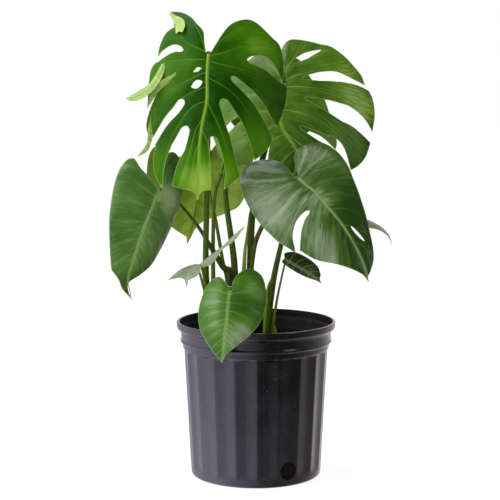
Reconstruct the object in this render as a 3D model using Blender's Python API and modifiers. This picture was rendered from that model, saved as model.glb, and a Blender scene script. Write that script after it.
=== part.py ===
"""Potted swiss cheese plant: a monstera of four shoots in a black ribbed nursery pot.

Lengths in the dictionaries are millimetres and angles are degrees. The origin is the middle of the pot's
underside, +Z is up and the viewer stands at -Y. A leaf blade is drawn flat, as its plan: x runs across
the blade and y runs from the seat, where the stalk meets it, towards the tip. The plan is then bent and hung.
"""

import math

import bmesh
import bpy
from mathutils import Matrix, Vector
from mathutils.geometry import delaunay_2d_cdt

MM = 0.001
GAP = 0.3

# Pot
POT_HEIGHT = 244
POT_LIP_RADIUS = 125
POT_BASE_RADIUS = 102.5
POT_WALL = 2
POT_FLOOR = 3
FLUTES = 20
FLUTE_DEPTH = 2.5
FLUTE_PHASE = 0.8
FLUTE_TOP = 199
FLUTE_BOTTOM = 9
FLUTE_FADE = 2
FLUTE_RISE = 11
STEPS_PER_FLUTE = 4
DRAIN_RADIUS = 14
DRAIN_HEIGHT = 25
DRAIN_ANGLE = 28.7
DRAIN_COUNT = 2

# Soil
SOIL_TOP = 197
SOIL_MOUND = 4
SOIL_CLEARANCE = 0.5
SOIL_FOOT_CLEARANCE = 1.5
HOLE_DEPTH = 50
HOLE_CLEARANCE = 0.5
CROWN_RISE = 14

# Blades and stalks
BLADE_THICKNESS = 1.0
MARGIN_STEP = 11
INNER_STEP = 19
SMALL_BLADE = 120
CUT_END_SHARE = 0.3
STALK_STEP = 24
STALK_END_RADIUS = 1.6
STALK_END_SHARE = 0.07

COLOURS = {
    "black_plastic": ((0.018, 0.019, 0.024), 0.42),
    "potting_soil": ((0.035, 0.022, 0.014), 0.95),
    "stalk_green": ((0.07, 0.13, 0.02), 0.45),
    "blade_bright": ((0.045, 0.17, 0.008), 0.35),
    "blade_dark": ((0.03, 0.085, 0.02), 0.28),
    "blade_pale": ((0.17, 0.27, 0.06), 0.5),
}

# Blade plans: right and left list the margin from the sinus round to the tip, as smooth stretches that meet
# in corners. A cut is a gap along a smooth line, with its width at the inner end, middle and outer end.
# A finger bends down (droop) and turns about its own line (twist) past its start. A curl is a finger that the
# blade carries turned over, drawn as a small blade of its own whose seat lies in the blade.
LEAVES = {
    "leaf_a": {
        "material": "blade_bright",
        "seat": (-71.7, -70, 659.7),
        "facing": (0, 22),
        "roll": 0,
        "reach": (232, 70, 125),
        "bend": (14, 22),
        "fold": 4,
        "sag": 34,
        "right": [
            [(4, -3), (13, -20), (29, -50), (44, -65), (61, -75), (74, -73), (88, -62), (101, -51),
             (114, -42), (121, -21), (123, 10), (120, 30)],
            [(120, 30), (130, 36)],
            [(130, 36), (128, 58), (120, 84), (109, 108)],
            [(109, 108), (98, 114)],
            [(98, 114), (101, 126), (99, 135), (88, 148), (73, 161)],
            [(73, 161), (60, 178), (45, 190)],
            [(45, 190), (34, 200), (25, 207)],
            [(25, 207), (5, 208)],
            [(5, 208), (-9, 211), (-15, 224)],
        ],
        "left": [
            [(-4, -3), (-6, -19), (-8, -38), (-18, -54), (-28, -70), (-44, -86), (-63, -96)],
            [(-63, -96), (-56, -78), (-54, -54)],
            [(-54, -54), (-66, -47), (-74, -33), (-79, -16), (-80, 3)],
            [(-80, 3), (-91, 14), (-95, 32), (-97, 56), (-97, 77)],
            [(-97, 77), (-90, 68), (-81, 58)],
            [(-81, 58), (-87, 68), (-91, 86), (-91, 106), (-88, 122)],
            [(-88, 122), (-82, 140)],
            [(-82, 140), (-86, 160), (-83, 183), (-72, 203)],
            [(-72, 203), (-56, 201)],
            [(-56, 201), (-40, 206), (-22, 211), (-15, 224)],
        ],
        "cuts": [
            {"path": [(60, 5), (85, 4), (103, 15), (119, 32)], "width": (9, 22, 16, 2), "hole": True},
            {"path": [(35, 35), (62, 57), (80, 76), (106, 115)], "width": (8, 12, 14, 14)},
            {"path": [(21, 71), (33, 96), (47, 128), (62, 182)], "width": (12, 24, 28, 28)},
            {"path": [(6, 129), (11, 150), (15, 180), (14, 214)], "width": (12, 18, 21, 17)},
            {"path": [(-32, 112), (-42, 137), (-56, 168), (-64, 208)], "width": (12, 22, 18, 14)},
            {"path": [(-38, 70), (-49, 86), (-66, 104), (-88, 136)], "width": (12, 12, 9, 9)},
            {"path": [(-39, -8), (-52, -14), (-67, -9), (-82, 5)], "width": (7, 14, 12, 3)},
            {"path": [(-11, 23), (-15, 24), (-19, 27), (-22, 28)], "width": (4, 6, 6, 4), "hole": True},
            {"path": [(-9, 45), (-14, 46), (-20, 50), (-25, 52)], "width": (8, 11, 11, 8), "hole": True},
        ],
        "fingers": [],
        "curls": [
            {"seat": (-137, -57, 646.5), "facing": (164, -32), "roll": 36, "reach": (84, 10, 24),
             "bend": (8, 0), "fold": 0, "sag": 14, "fingers": [], "cuts": [],
             "right": [[(4, -5), (3, 4), (-3, 22), (-8, 43), (-4, 66), (0, 83)]],
             "left": [[(-4, -5), (-6, 5), (-15, 20), (-21, 36), (-24, 53), (-20, 71), (-10, 81), (0, 83)]]},
            {"seat": (-120.3, -72.4, 627.9), "facing": (180, -5), "roll": 41, "reach": (66, 10, 14),
             "bend": (4, 0), "fold": 0, "sag": 10, "fingers": [], "cuts": [],
             "right": [[(3, -3), (6, 6), (10, 16), (12, 28), (10, 44), (6, 56), (0, 66)]],
             "left": [[(-3, -3), (-2, 8), (2, 24), (3, 42), (1, 56), (0, 66)]]},
            {"seat": (-155, -73, 581.5), "facing": (0, 11), "roll": -16, "reach": (46, 10, 14),
             "bend": (0, 0), "fold": 0, "sag": 14, "fingers": [], "cuts": [],
             "right": [[(4, -6), (7, 6), (8, 18), (7, 30), (5, 44)]],
             "left": [[(-2, -6), (-3, 6), (-3, 20), (-1, 33), (5, 44)]]},
            {"seat": (-158.5, -77, 554), "facing": (189, -16), "roll": 24, "reach": (56, 10, 14),
             "bend": (6, 0), "fold": 0, "sag": 14, "fingers": [], "cuts": [],
             "right": [[(2, -5), (2, 4), (-1, 13), (-5, 27), (-4, 40), (0, 55)]],
             "left": [[(-4, -5), (-7, 7), (-11, 22), (-11, 40), (0, 55)]]},
            {"seat": (-131.7, -9.8, 720.4), "facing": (139, -35), "roll": -42, "reach": (56, 10, 20),
             "bend": (0, 0), "fold": 0, "sag": 4, "fingers": [], "cuts": [],
             "right": [[(1, -3), (-1, 15), (-1, 33), (1, 50)], [(1, 50), (-5, 50), (-10, 57)]],
             "left": [[(-2, -4), (-7, 10), (-14, 22), (-18, 33), (-17, 47), (-10, 57)]]},
        ],
    },
    "leaf_b": {
        "material": "blade_bright",
        "seat": (44.3, 40, 615.3),
        "facing": (-8, 22),
        "roll": -1,
        "reach": (185, 80, 150),
        "bend": (14, 20),
        "fold": 5,
        "sag": 34,
        "right": [
            [(3, -5), (-5, -36), (-9, -62), (0, -80), (16, -84), (50, -82), (69, -83), (88, -73),
             (108, -57), (125, -40), (134, -19)],
            [(134, -19), (144, -7), (152, 11), (155, 33), (153, 53), (151, 69)],
            [(151, 69), (149, 82)],
            [(149, 82), (142, 105), (130, 122), (111, 136)],
            [(111, 136), (88, 148)],
            [(88, 148), (60, 158), (34, 164)],
            [(34, 164), (16, 172), (4, 190)],
        ],
        "left": [
            [(-5, -3), (-14, -36), (-26, -58), (-42, -61), (-60, -50), (-93, -24), (-112, 6), (-118, 34),
             (-108, 62)],
            [(-108, 62), (-122, 82)],
            [(-122, 82), (-107, 111), (-93, 128), (-62, 136)],
            [(-62, 132), (-18, 150)],
            [(-18, 150), (-10, 168), (4, 190)],
        ],
        "cuts": [
            {"path": [(10, -36), (28, -51), (54, -70)], "width": (6, 12, 3), "hole": True},
            {"path": [(27, -10), (52, -17), (84, -23), (118, -20), (142, -14)], "width": (4, 16, 19, 9, 5)},
            {"path": [(34, 22), (56, 27), (86, 35), (122, 48), (158, 80)], "width": (4, 18, 30, 24, 12)},
            {"path": [(29, 70), (60, 83), (92, 98), (104, 146)], "width": (5, 14, 18, 30)},
            {"path": [(-56, 48), (-82, 62), (-108, 84)], "width": (6, 12, 14)},
            {"path": [(-16, 84), (-27, 108), (-38, 156)], "width": (8, 22, 30)},
        ],
        "fingers": [],
    },
    "leaf_c": {
        "material": "blade_dark",
        "seat": (61.8, -75, 473.9),
        "facing": (-8, 44),
        "roll": 34,
        "reach": (200, 62, 110),
        "bend": (34, 12),
        "fold": 2,
        "sag": 26,
        "right": [
            [(4, -4), (7, -16), (17, -41), (27, -54), (43, -62), (62, -62), (77, -53), (86, -33), (87, 0),
             (77, 41), (66, 83), (55, 120), (44, 152), (34, 172), (19, 187)],
            [(19, 187), (13, 191), (10, 199)],
        ],
        "left": [
            [(-2, -5), (-4, -35), (-15, -61), (-34, -78), (-56, -78), (-74, -54), (-84, -18), (-87, 24),
             (-80, 72), (-67, 105)],
            [(-67, 105), (-57, 110)],
            [(-57, 110), (-45, 132), (-22, 153), (-5, 170), (6, 184)],
            [(6, 184), (8, 190), (10, 199)],
        ],
        "cuts": [
            {"path": [(-14, 60), (-32, 67), (-49, 84), (-63, 112)], "width": (6, 12, 12, 5)},
            {"path": [(28, 112), (31, 126), (35, 141)], "width": (3, 5, 3), "hole": True},
        ],
        "fingers": [],
    },
    "leaf_e": {
        "material": "blade_dark",
        "seat": (-143.2, -60, 454.9),
        "facing": (38, 12),
        "roll": -28,
        "reach": (175, 62, 74),
        "bend": (10, 16),
        "fold": 12,
        "sag": 36,
        "right": [
            [(-3, -3), (-9, -30), (-7, -54), (2, -69), (20, -74), (39, -55), (55, -20), (56, 16), (48, 62),
             (35, 106), (18, 131), (2, 150)],
            [(2, 150), (0, 158), (8, 168), (23, 175)],
        ],
        "left": [
            [(-6, -1), (-38, -21), (-54, -38), (-66, -31), (-73, -2), (-69, 41), (-61, 76), (-48, 111),
             (-32, 146)],
            [(-32, 146), (-17, 156), (-4, 168), (23, 175)],
        ],
        "cuts": [],
        "fingers": [],
    },
    "leaf_f": {
        "material": "blade_bright",
        "seat": (-39.5, -116, 311.3),
        "facing": (-6, 24),
        "roll": -5,
        "reach": (112, 40, 56),
        "bend": (14, 24),
        "fold": 6,
        "sag": 30,
        "right": [
            [(3, -4), (3, -12), (8, -24), (19, -38), (34, -42), (49, -31), (59, 5), (56, 36), (42, 62),
             (24, 81), (8, 97)],
            [(8, 97), (4, 103), (2, 112)],
        ],
        "left": [
            [(-4, -4), (-8, -10), (-20, -19), (-32, -13), (-42, 4), (-48, 36), (-40, 66), (-20, 91),
             (-6, 105)],
            [(-6, 105), (2, 112)],
        ],
        "cuts": [],
        "fingers": [],
    },
    "leaf_g": {
        "material": "blade_pale",
        "seat": (-76, 88, 505),
        "facing": (186, 20),
        "roll": 12,
        "reach": (162, 46, 90),
        "bend": (12, 20),
        "fold": 4,
        "sag": 26,
        "right": [
            [(3, -3), (18, 3), (34, 10), (50, 15), (62, 13), (76, 2), (91, -6), (102, 3), (104, 21), (99, 50),
             (83, 87), (59, 116), (32, 137), (14, 146), (4, 150)],
            [(4, 150), (0, 163)],
        ],
        "left": [
            [(-3, -3), (-14, -28), (-32, -42), (-54, -36), (-70, -12), (-78, 20), (-76, 52), (-70, 76),
             (-58, 90), (-39, 105), (-19, 118), (-8, 134), (-4, 148)],
            [(-4, 148), (0, 163)],
        ],
        "cuts": [],
        "fingers": [],
    },
    "leaf_h": {
        "material": "blade_pale",
        "seat": (30, 128, 620),
        "facing": (176, 24),
        "roll": -6,
        "reach": (124, 50, 100),
        "bend": (14, 20),
        "fold": 4,
        "sag": 28,
        "right": [
            [(3, -3), (12, -20), (30, -29), (52, -27), (74, -10), (88, 18), (86, 50)],
            [(86, 50), (70, 76), (40, 96), (10, 106)],
            [(10, 106), (0, 118)],
        ],
        "left": [
            [(-3, -3), (-12, -27), (-30, -40), (-48, -38), (-61, -6), (-81, 28), (-90, 61), (-97, 100)],
            [(-97, 100), (-98, 112), (-94, 124)],
            [(-94, 124), (-72, 103), (-50, 92)],
            [(-50, 92), (-30, 101), (-12, 106)],
            [(-12, 106), (0, 118)],
        ],
        "cuts": [],
        "fingers": [],
    },
    "leaf_i": {
        "material": "blade_pale",
        "seat": (-90, -60, 340),
        "facing": (-10, 62),
        "roll": -24,
        "reach": (60, 14, 40),
        "bend": (40, 10),
        "fold": 0,
        "sag": 10,
        "right": [
            [(2, -3), (9, 3), (13, 12), (13, 22), (9, 28), (4, 33)],
            [(4, 33), (8, 45)],
        ],
        "left": [
            [(-3, -2), (-11, 8), (-20, 22), (-28, 43)],
            [(-28, 43), (-19, 38), (-10, 34), (-2, 34)],
            [(-2, 34), (2, 38), (8, 45)],
        ],
        "cuts": [],
        "fingers": [],
    },
    "leaf_i_upper": {
        "material": "blade_pale",
        "seat": (-87, -48, 338),
        "facing": (-40, 40),
        "roll": 141,
        "reach": (92, 4, 12),
        "bend": (-14, 0),
        "fold": 24,
        "sag": 10,
        "right": [
            [(1.5, -3), (9, 8), (10, 20), (5, 36), (2.5, 46)],
            [(2.5, 46), (5, 58), (5, 72), (0, 93)],
        ],
        "left": [
            [(-1.5, -3), (-9, 8), (-10, 20), (-5, 36), (-2.5, 46)],
            [(-2.5, 46), (-5, 58), (-5, 72), (0, 93)],
        ],
        "cuts": [],
        "fingers": [],
    },
    "leaf_j": {
        "material": "blade_dark",
        "seat": (45.2, -24, 344),
        "facing": (-12, 32),
        "roll": 60,
        "reach": (66, 8, 26),
        "bend": (24, 0),
        "fold": 14,
        "sag": 24,
        "right": [
            [(2, -3), (9, -8), (18, -3), (25, 6), (28, 28), (24, 48), (13, 60)],
            [(13, 60), (5, 63), (1, 69)],
        ],
        "left": [
            [(-2, -3), (-6, -3), (-8, 8), (-8, 28), (-5, 46), (0, 61)],
            [(0, 61), (1, 69)],
        ],
        "cuts": [],
        "fingers": [],
    },
    "leaf_k": {
        "material": "blade_pale",
        "seat": (110.9, 34, 431.3),
        "facing": (60, 62),
        "roll": 23,
        "reach": (132, 20, 34),
        "bend": (0, 10),
        "fold": 10,
        "sag": 24,
        "right": [
            [(2, -2), (10, -16), (24, -20), (34, -6), (35, 24), (30, 52), (20, 74), (11, 94), (6, 112)],
            [(6, 112), (0, 132)],
        ],
        "left": [
            [(-2, -2), (-10, -16), (-24, -20), (-34, -6), (-35, 24), (-30, 52), (-20, 74), (-11, 94),
             (-6, 112)],
            [(-6, 112), (0, 132)],
        ],
        "cuts": [],
        "fingers": [
            {"start": (0, 90), "end": (0, 132), "wide": 16, "droop": 55, "twist": 0},
        ],
    },
    "leaf_spear": {
        "material": "blade_pale",
        "seat": (-58, 0, 474),
        "facing": (-60, 4),
        "roll": 172,
        "reach": (62, 2, 8),
        "bend": (26, 0),
        "fold": 30,
        "sag": 30,
        "right": [
            [(1.5, -1), (7, 10), (8, 26), (5, 44)],
            [(5, 44), (0, 62)],
        ],
        "left": [
            [(-1.5, -1), (-7, 10), (-8, 26), (-5, 44)],
            [(-5, 44), (0, 62)],
        ],
        "cuts": [],
        "fingers": [],
    },
}

# Shoots: a crown sunk in the soil at base, and the stalks that grow from it, each a smooth line of places
# with its radius there. A stalk with a blade ends under that blade's seat.
SHOOTS = {
    "shoot_left": {
        "base": (-68, -12),
        "crown": 11,
        "stalks": [
            {"blade": "leaf_a",
             "path": [(-70, -14, 206), (-78, -24, 315), (-75.5, -38, 452), (-73, -44, 600)],
             "radius": (7, 4.6, 4.4, 4)},
            {"blade": "leaf_spear", "path": [(-66, -6, 206), (-67.6, 4, 354), (-64.5, 4, 440)],
             "radius": (5, 3.2, 2.6)},
            {"blade": "leaf_i", "path": [(-70, -18, 206), (-72, -44, 262), (-84, -60, 318)],
             "radius": (4, 2.2, 1.6)},
            {"blade": "leaf_i_upper", "path": [(-66, -18, 206), (-68, -40, 262), (-80, -44, 316)],
             "radius": (4, 2.2, 1.6)},
        ],
    },
    "shoot_middle": {
        "base": (-37, -6),
        "crown": 12,
        "stalks": [
            {"blade": "leaf_h",
             "path": [(-36, 0, 206), (-33.7, 10, 324), (-48.6, 42, 447), (-37, 60, 515), (-12, 78, 570),
                      (20, 110, 606)],
             "radius": (7, 5.6, 4.6, 4, 3.6, 3.2)},
            {"blade": "leaf_e",
             "path": [(-37, -8, 206), (-39, -12, 314), (-51, -13, 330), (-72, -13, 364), (-92, -12, 396),
                      (-124, -2, 432)],
             "radius": (6, 6, 5.8, 5.4, 4.2, 2.7, 2.4, 2.4, 2.4)},
            {"blade": "leaf_g",
             "path": [(-38, 0, 206), (-45, 8, 300), (-53, 14, 339), (-64, 30, 400), (-74.6, 52, 443.5)],
             "radius": (5, 3, 2.8, 2.8, 2.8)},
            {"blade": "leaf_f", "path": [(-38, -12, 206), (-36, -40, 250), (-37, -82, 296)],
             "radius": (5, 3.4, 2.8)},
        ],
    },
    "shoot_right": {
        "base": (-9, 12),
        "crown": 13,
        "stalks": [
            {"blade": "leaf_b",
             "path": [(-10, 12, 206), (-9, 12, 323), (-5, 22, 417), (12, 46, 502), (36, 62, 580)],
             "radius": (8, 6, 5, 4.8, 4.4)},
            {"blade": None,
             "path": [(-13, 8, 206), (-19, 8, 280), (-19, 6, 320), (-17.5, 6, 352), (-14, 8, 380), (-10.5, 14, 412)],
             "radius": (5, 5, 4.2, 3.6, 2.4, 0.8)},
            {"blade": "leaf_c", "path": [(-9, 8, 300), (-2.6, 2, 359), (9, -18, 394), (34, -44, 440)],
             "radius": (3, 3.8, 3.6, 3.4)},
        ],
    },
    "shoot_outer": {
        "base": (18, -2),
        "crown": 9,
        "stalks": [
            {"blade": "leaf_k",
             "path": [(18, -2, 206), (20, 0, 254), (28, 8, 310), (39, 16, 360), (48, 20, 396),
                      (69, 27, 426)],
             "radius": (6, 5.5, 4.2, 3.4, 3, 2.6)},
            {"blade": None, "path": [(14, -3, 206), (15, -2, 250), (18, 2, 292), (25, 6, 312)],
             "radius": (4, 3.6, 3, 1)},
            {"blade": "leaf_j", "path": [(24, -8, 206), (30.4, -10, 264), (41, -16, 320)],
             "radius": (3, 1.8, 1.4)},
            {"blade": None, "path": [(22, -10, 206), (30, -18, 222), (29, -22, 240)],
             "radius": (4, 3.4, 1)},
        ],
    },
}


def clear_scene():
    for scene_object in list(bpy.data.objects):
        bpy.data.objects.remove(scene_object, do_unlink=True)


def new_collection(name, visible=True):
    collection = bpy.data.collections.new(name)
    bpy.context.scene.collection.children.link(collection)
    collection.hide_render = not visible
    return collection


def material(name):
    found = bpy.data.materials.get(name)
    if found:
        return found
    colour, roughness = COLOURS[name]
    made = bpy.data.materials.new(name)
    made.use_nodes = True
    shader = made.node_tree.nodes["Principled BSDF"]
    shader.inputs["Base Color"].default_value = (*colour, 1)
    shader.inputs["Roughness"].default_value = roughness
    shader.inputs["Metallic"].default_value = 0
    return made


def mesh_object(name, vertices, faces, collection, material_name=None):
    mesh = bpy.data.meshes.new(name)
    mesh.from_pydata([Vector(v) * MM for v in vertices], [], faces)
    mesh.update()
    made = bpy.data.objects.new(name, mesh)
    collection.objects.link(made)
    if material_name:
        mesh.materials.append(material(material_name))
    return made


def apply_modifiers(target):
    graph = bpy.context.evaluated_depsgraph_get()
    mesh = bpy.data.meshes.new_from_object(target.evaluated_get(graph))
    target.modifiers.clear()
    target.data = mesh


def smooth_line(points, step):
    """Places about a step apart on the smooth (Catmull-Rom) curve through the points."""
    if len(points) == 2:
        return [Vector(p) for p in points]
    knots = [Vector(p) for p in points]
    knots = [2 * knots[0] - knots[1]] + knots + [2 * knots[-1] - knots[-2]]
    line = [knots[1]]
    for before, start, end, after in zip(knots, knots[1:], knots[2:], knots[3:]):
        count = max(1, round((end - start).length / step))
        for i in range(1, count + 1):
            t = i / count
            line.append(
                0.5 * (2 * start + (end - before) * t + (2 * before - 5 * start + 4 * end - after) * t ** 2
                       + (3 * start - before - 3 * end + after) * t ** 3)
            )
    return line


def interpolate(values, t):
    """The value at t, from 0 to 1, on the straight pieces through evenly spaced values."""
    place = t * (len(values) - 1)
    i = min(int(place), len(values) - 2)
    return values[i] + (values[i + 1] - values[i]) * (place - i)


def wall_radius(z):
    """The pot's outer wall without its flutes, which tapers evenly from the bands to the foot."""
    top_radius = POT_LIP_RADIUS - 12
    return POT_BASE_RADIUS + (top_radius - POT_BASE_RADIUS) * z / FLUTE_TOP


def pot_profile():
    """Half section of the pot: from the middle of the floor up the inside, over the lip and down outside."""
    lip = POT_LIP_RADIUS
    top = POT_HEIGHT
    foot_round = 4
    inside = [
        (0, POT_FLOOR),
        (wall_radius(POT_FLOOR) - POT_WALL - 2, POT_FLOOR),
        (wall_radius(FLUTE_BOTTOM) - POT_WALL, FLUTE_BOTTOM),
        (wall_radius(FLUTE_BOTTOM + FLUTE_RISE) - POT_WALL, FLUTE_BOTTOM + FLUTE_RISE),
        (wall_radius(FLUTE_TOP) - POT_WALL, FLUTE_TOP),
        (lip - 12.2, 204),
        (lip - 11, 213),
        (lip - 8.6, 218),
        (lip - 7.6, 228),
        (lip - 4.6, 233),
        (lip - 4.6, top - 1),
        (lip - 3.8, top),
    ]
    outside = [
        (lip - 1.4, top),
        (lip, top - 1.8),
        (lip, top - 8.5),
        (lip - 1.5, top - 11),
        (lip - 5.4, top - 14),
        (lip - 6.6, 226),
        (lip - 7.2, 217),
        (lip - 5.8, 215.5),
        (lip - 5.8, 213),
        (lip - 9.2, 210.5),
        (lip - 9.8, 203),
        (wall_radius(FLUTE_TOP) + 0.4, FLUTE_TOP + FLUTE_FADE),
        (wall_radius(FLUTE_TOP), FLUTE_TOP),
        (wall_radius(FLUTE_BOTTOM + FLUTE_RISE), FLUTE_BOTTOM + FLUTE_RISE),
        (wall_radius(FLUTE_BOTTOM), FLUTE_BOTTOM),
        (POT_BASE_RADIUS, foot_round),
        (POT_BASE_RADIUS - 1.2, 1.2),
        (POT_BASE_RADIUS - foot_round, 0),
        (0, 0),
    ]
    return inside + outside


def flute_inset(step, z):
    """How far the wall is pressed in at this step: each flute is hollow, and the flutes meet in ridges."""
    across = 2 * (step % STEPS_PER_FLUTE) / STEPS_PER_FLUTE - 1
    within = FLUTE_BOTTOM + 0.1 < z < FLUTE_TOP + 0.1
    return FLUTE_DEPTH * (1 - across ** 2) if within else 0


def soil_inset(step, z):
    """The potting mix follows the flutes, apart from its round top edge."""
    return flute_inset(step, z) if z < SOIL_TOP - 0.5 else 0


def turn_fluted(name, profile, collection, material_name, inset_of):
    """A profile turned by a Screw modifier, then its steps moved onto the flutes."""
    steps = FLUTES * STEPS_PER_FLUTE
    outline = bpy.data.meshes.new(name)
    vertices = [(r * MM, 0, z * MM) for r, z in profile]
    outline.from_pydata(vertices, [(i, i + 1) for i in range(len(profile) - 1)], [])
    made = bpy.data.objects.new(name, outline)
    collection.objects.link(made)
    screw = made.modifiers.new("turn", "SCREW")
    screw.steps = steps
    screw.render_steps = steps
    screw.use_merge_vertices = True
    screw.merge_threshold = 0.00005
    screw.use_smooth_shade = True
    apply_modifiers(made)
    for vertex in made.data.vertices:
        x, y, z = vertex.co
        radius = math.hypot(x, y)
        if radius < 1 * MM:
            continue
        step = round(math.degrees(math.atan2(y, x)) / (360 / steps)) % steps
        # Step 0 of the flutes is at the front, -Y, and they run round towards +X.
        angle = math.radians(FLUTE_PHASE + step * 360 / steps - 90)
        radius -= inset_of(step, z / MM) * MM
        vertex.co = (radius * math.cos(angle), radius * math.sin(angle), z)
    made.data.materials.clear()
    made.data.materials.append(material(material_name))
    made.data.set_sharp_from_angle(angle=math.radians(28))
    return made


def boolean(target, operation, operand):
    modifier = target.modifiers.new(operation.lower(), "BOOLEAN")
    modifier.operation = operation
    if isinstance(operand, bpy.types.Collection):
        modifier.operand_type = "COLLECTION"
        modifier.collection = operand
    else:
        modifier.object = operand


def cylinder(name, radius, start, end, collection, sides=24):
    """A cylinder between two places, in millimetres."""
    start = Vector(start)
    end = Vector(end)
    axis = end - start
    bpy.ops.mesh.primitive_cylinder_add(vertices=sides, radius=radius * MM, depth=axis.length * MM)
    made = bpy.context.object
    made.name = name
    made.data.transform(axis.to_track_quat("Z", "Y").to_matrix().to_4x4())
    made.location = (start + end) / 2 * MM
    for other in list(made.users_collection):
        other.objects.unlink(made)
    collection.objects.link(made)
    return made


def hide_cutter(cutter):
    cutter.hide_render = True
    cutter.display_type = "WIRE"


def make_pot(parts, cutters):
    pot = turn_fluted("pot", pot_profile(), parts, "black_plastic", flute_inset)
    reach = 20
    for i in range(DRAIN_COUNT):
        angle = math.radians(DRAIN_ANGLE + i * 360 / DRAIN_COUNT - 90)
        direction = Vector((math.cos(angle), math.sin(angle), 0))
        start = direction * (POT_BASE_RADIUS - reach) + Vector((0, 0, DRAIN_HEIGHT))
        end = direction * (POT_BASE_RADIUS + reach) + Vector((0, 0, DRAIN_HEIGHT))
        cutter = cylinder(f"drain_cutter_{i + 1}", DRAIN_RADIUS, start, end, cutters)
        hide_cutter(cutter)
        boolean(pot, "DIFFERENCE", cutter)


def make_soil(parts, cutters):
    """The potting mix: the inside of the pot less a small gap, mounded, with a plain hole for each shoot."""
    clearance = POT_WALL + SOIL_CLEARANCE
    profile = [
        (0, SOIL_TOP + SOIL_MOUND),
        (40, SOIL_TOP + SOIL_MOUND - 1),
        (80, SOIL_TOP),
        (wall_radius(SOIL_TOP - 1) - clearance, SOIL_TOP - 1),
        (wall_radius(FLUTE_BOTTOM + FLUTE_RISE) - clearance, FLUTE_BOTTOM + FLUTE_RISE),
        (wall_radius(FLUTE_BOTTOM) - POT_WALL - SOIL_FOOT_CLEARANCE, FLUTE_BOTTOM),
        (wall_radius(POT_FLOOR) - clearance - 4, POT_FLOOR + GAP),
        (0, POT_FLOOR + GAP),
    ]
    soil = turn_fluted("soil", profile, parts, "potting_soil", soil_inset)
    for name, shoot in SHOOTS.items():
        x, y = shoot["base"]
        bottom = (x, y, SOIL_TOP - HOLE_DEPTH)
        top = (x, y, SOIL_TOP + HOLE_DEPTH)
        hole = cylinder(f"{name}_hole", shoot["crown"] + HOLE_CLEARANCE, bottom, top, cutters)
        hide_cutter(hole)
        boolean(soil, "DIFFERENCE", hole)


def cut_outline(cut, step):
    """The closed outline of a gap: narrow at its inner end, and at both ends where it is a hole."""
    line = smooth_line(cut["path"], step)
    count = len(line) - 1
    right = []
    left = []
    for i, place in enumerate(line):
        t = i / count
        along = (line[min(i + 1, count)] - line[max(i - 1, 0)]).normalized()
        across = Vector((-along.y, along.x))
        half = interpolate(cut["width"], t) / 2
        if i == 0 or i == count and cut.get("hole"):
            half *= CUT_END_SHARE
        right.append(place + across * half)
        left.append(place - across * half)
    return right + left[::-1]


def inside(point, outline):
    """Whether the point lies in the closed outline, by counting the edges to its right."""
    x, y = point[0], point[1]
    crossings = 0
    for p, q in zip(outline, outline[1:] + outline[:1]):
        if (p[1] > y) != (q[1] > y) and x < p[0] + (y - p[1]) / (q[1] - p[1]) * (q[0] - p[0]):
            crossings += 1
    return crossings % 2 == 1


def margin(plan, step):
    right = [p for stretch in plan["right"] for p in smooth_line(stretch, step)[:-1]]
    left = [p for stretch in plan["left"] for p in smooth_line(stretch, step)[:-1]]
    tip = Vector(plan["right"][-1][-1])
    return right + [tip] + left[::-1]


def largest_piece(triangles):
    """The triangles joined edge to edge to most of the others."""
    by_edge = {}
    for i, triangle in enumerate(triangles):
        for a, b in zip(triangle, triangle[1:] + triangle[:1]):
            by_edge.setdefault(frozenset((a, b)), []).append(i)
    seen = set()
    best = []
    for first in range(len(triangles)):
        if first in seen:
            continue
        piece = [first]
        seen.add(first)
        for i in piece:
            triangle = triangles[i]
            for a, b in zip(triangle, triangle[1:] + triangle[:1]):
                for other in by_edge[frozenset((a, b))]:
                    if other not in seen:
                        seen.add(other)
                        piece.append(other)
        if len(piece) > len(best):
            best = piece
    return [triangles[i] for i in best]


def flat_blade(plan, margin_step, inner_step):
    """The plan's places and triangles: margin, cuts and middle line as fixed edges, a staggered grid."""
    outlines = [margin(plan, margin_step)] + [cut_outline(cut, margin_step) for cut in plan["cuts"]]
    places = []
    edges = []
    for outline in outlines:
        first = len(places)
        places += outline
        edges += [(first + i, first + (i + 1) % len(outline)) for i in range(len(outline))]
    length = plan["right"][-1][-1][1] - inner_step / 2
    count = max(2, round(length / inner_step))
    crease = [Vector((0, length * i / count)) for i in range(count + 1)]
    crease = [place for place in crease if inside(place, outlines[0])]
    edges += [(len(places) + i, len(places) + i + 1) for i in range(len(crease) - 1)]
    places += crease
    fixed = list(places)
    low = Vector((min(p.x for p in fixed), min(p.y for p in fixed)))
    high = Vector((max(p.x for p in fixed), max(p.y for p in fixed)))
    row_step = inner_step * math.sin(math.radians(60))
    for row in range(int((high.y - low.y) / row_step) + 1):
        for column in range(int((high.x - low.x) / inner_step) + 1):
            place = low + Vector(((column + row % 2 / 2) * inner_step, row * row_step))
            if inside(place, outlines[0]) and min((place - p).length for p in fixed) > inner_step / 2:
                places.append(place)
    points, _, triangles = delaunay_2d_cdt(places, edges, [], 0, 0.05)[:3]
    kept = []
    for triangle in triangles:
        middle = sum((points[i] for i in triangle), Vector((0, 0))) / 3
        if inside(middle, outlines[0]) and not any(inside(middle, hole) for hole in outlines[1:]):
            kept.append(tuple(triangle))
    kept = largest_piece(kept)
    used = sorted({i for triangle in kept for i in triangle})
    renumber = {old: new for new, old in enumerate(used)}
    return [points[i] for i in used], [tuple(renumber[i] for i in triangle) for triangle in kept]


def arc(length, start, rate):
    """How far along and how far down a line runs that starts at an angle and turns evenly, in radians."""
    if abs(rate) < 1e-6:
        return length * math.cos(start), length * math.sin(start)
    end = start + rate * length
    return (math.sin(end) - math.sin(start)) / rate, (math.cos(start) - math.cos(end)) / rate


def smooth_step(t):
    t = min(max(t, 0), 1)
    return t * t * (3 - 2 * t)


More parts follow.
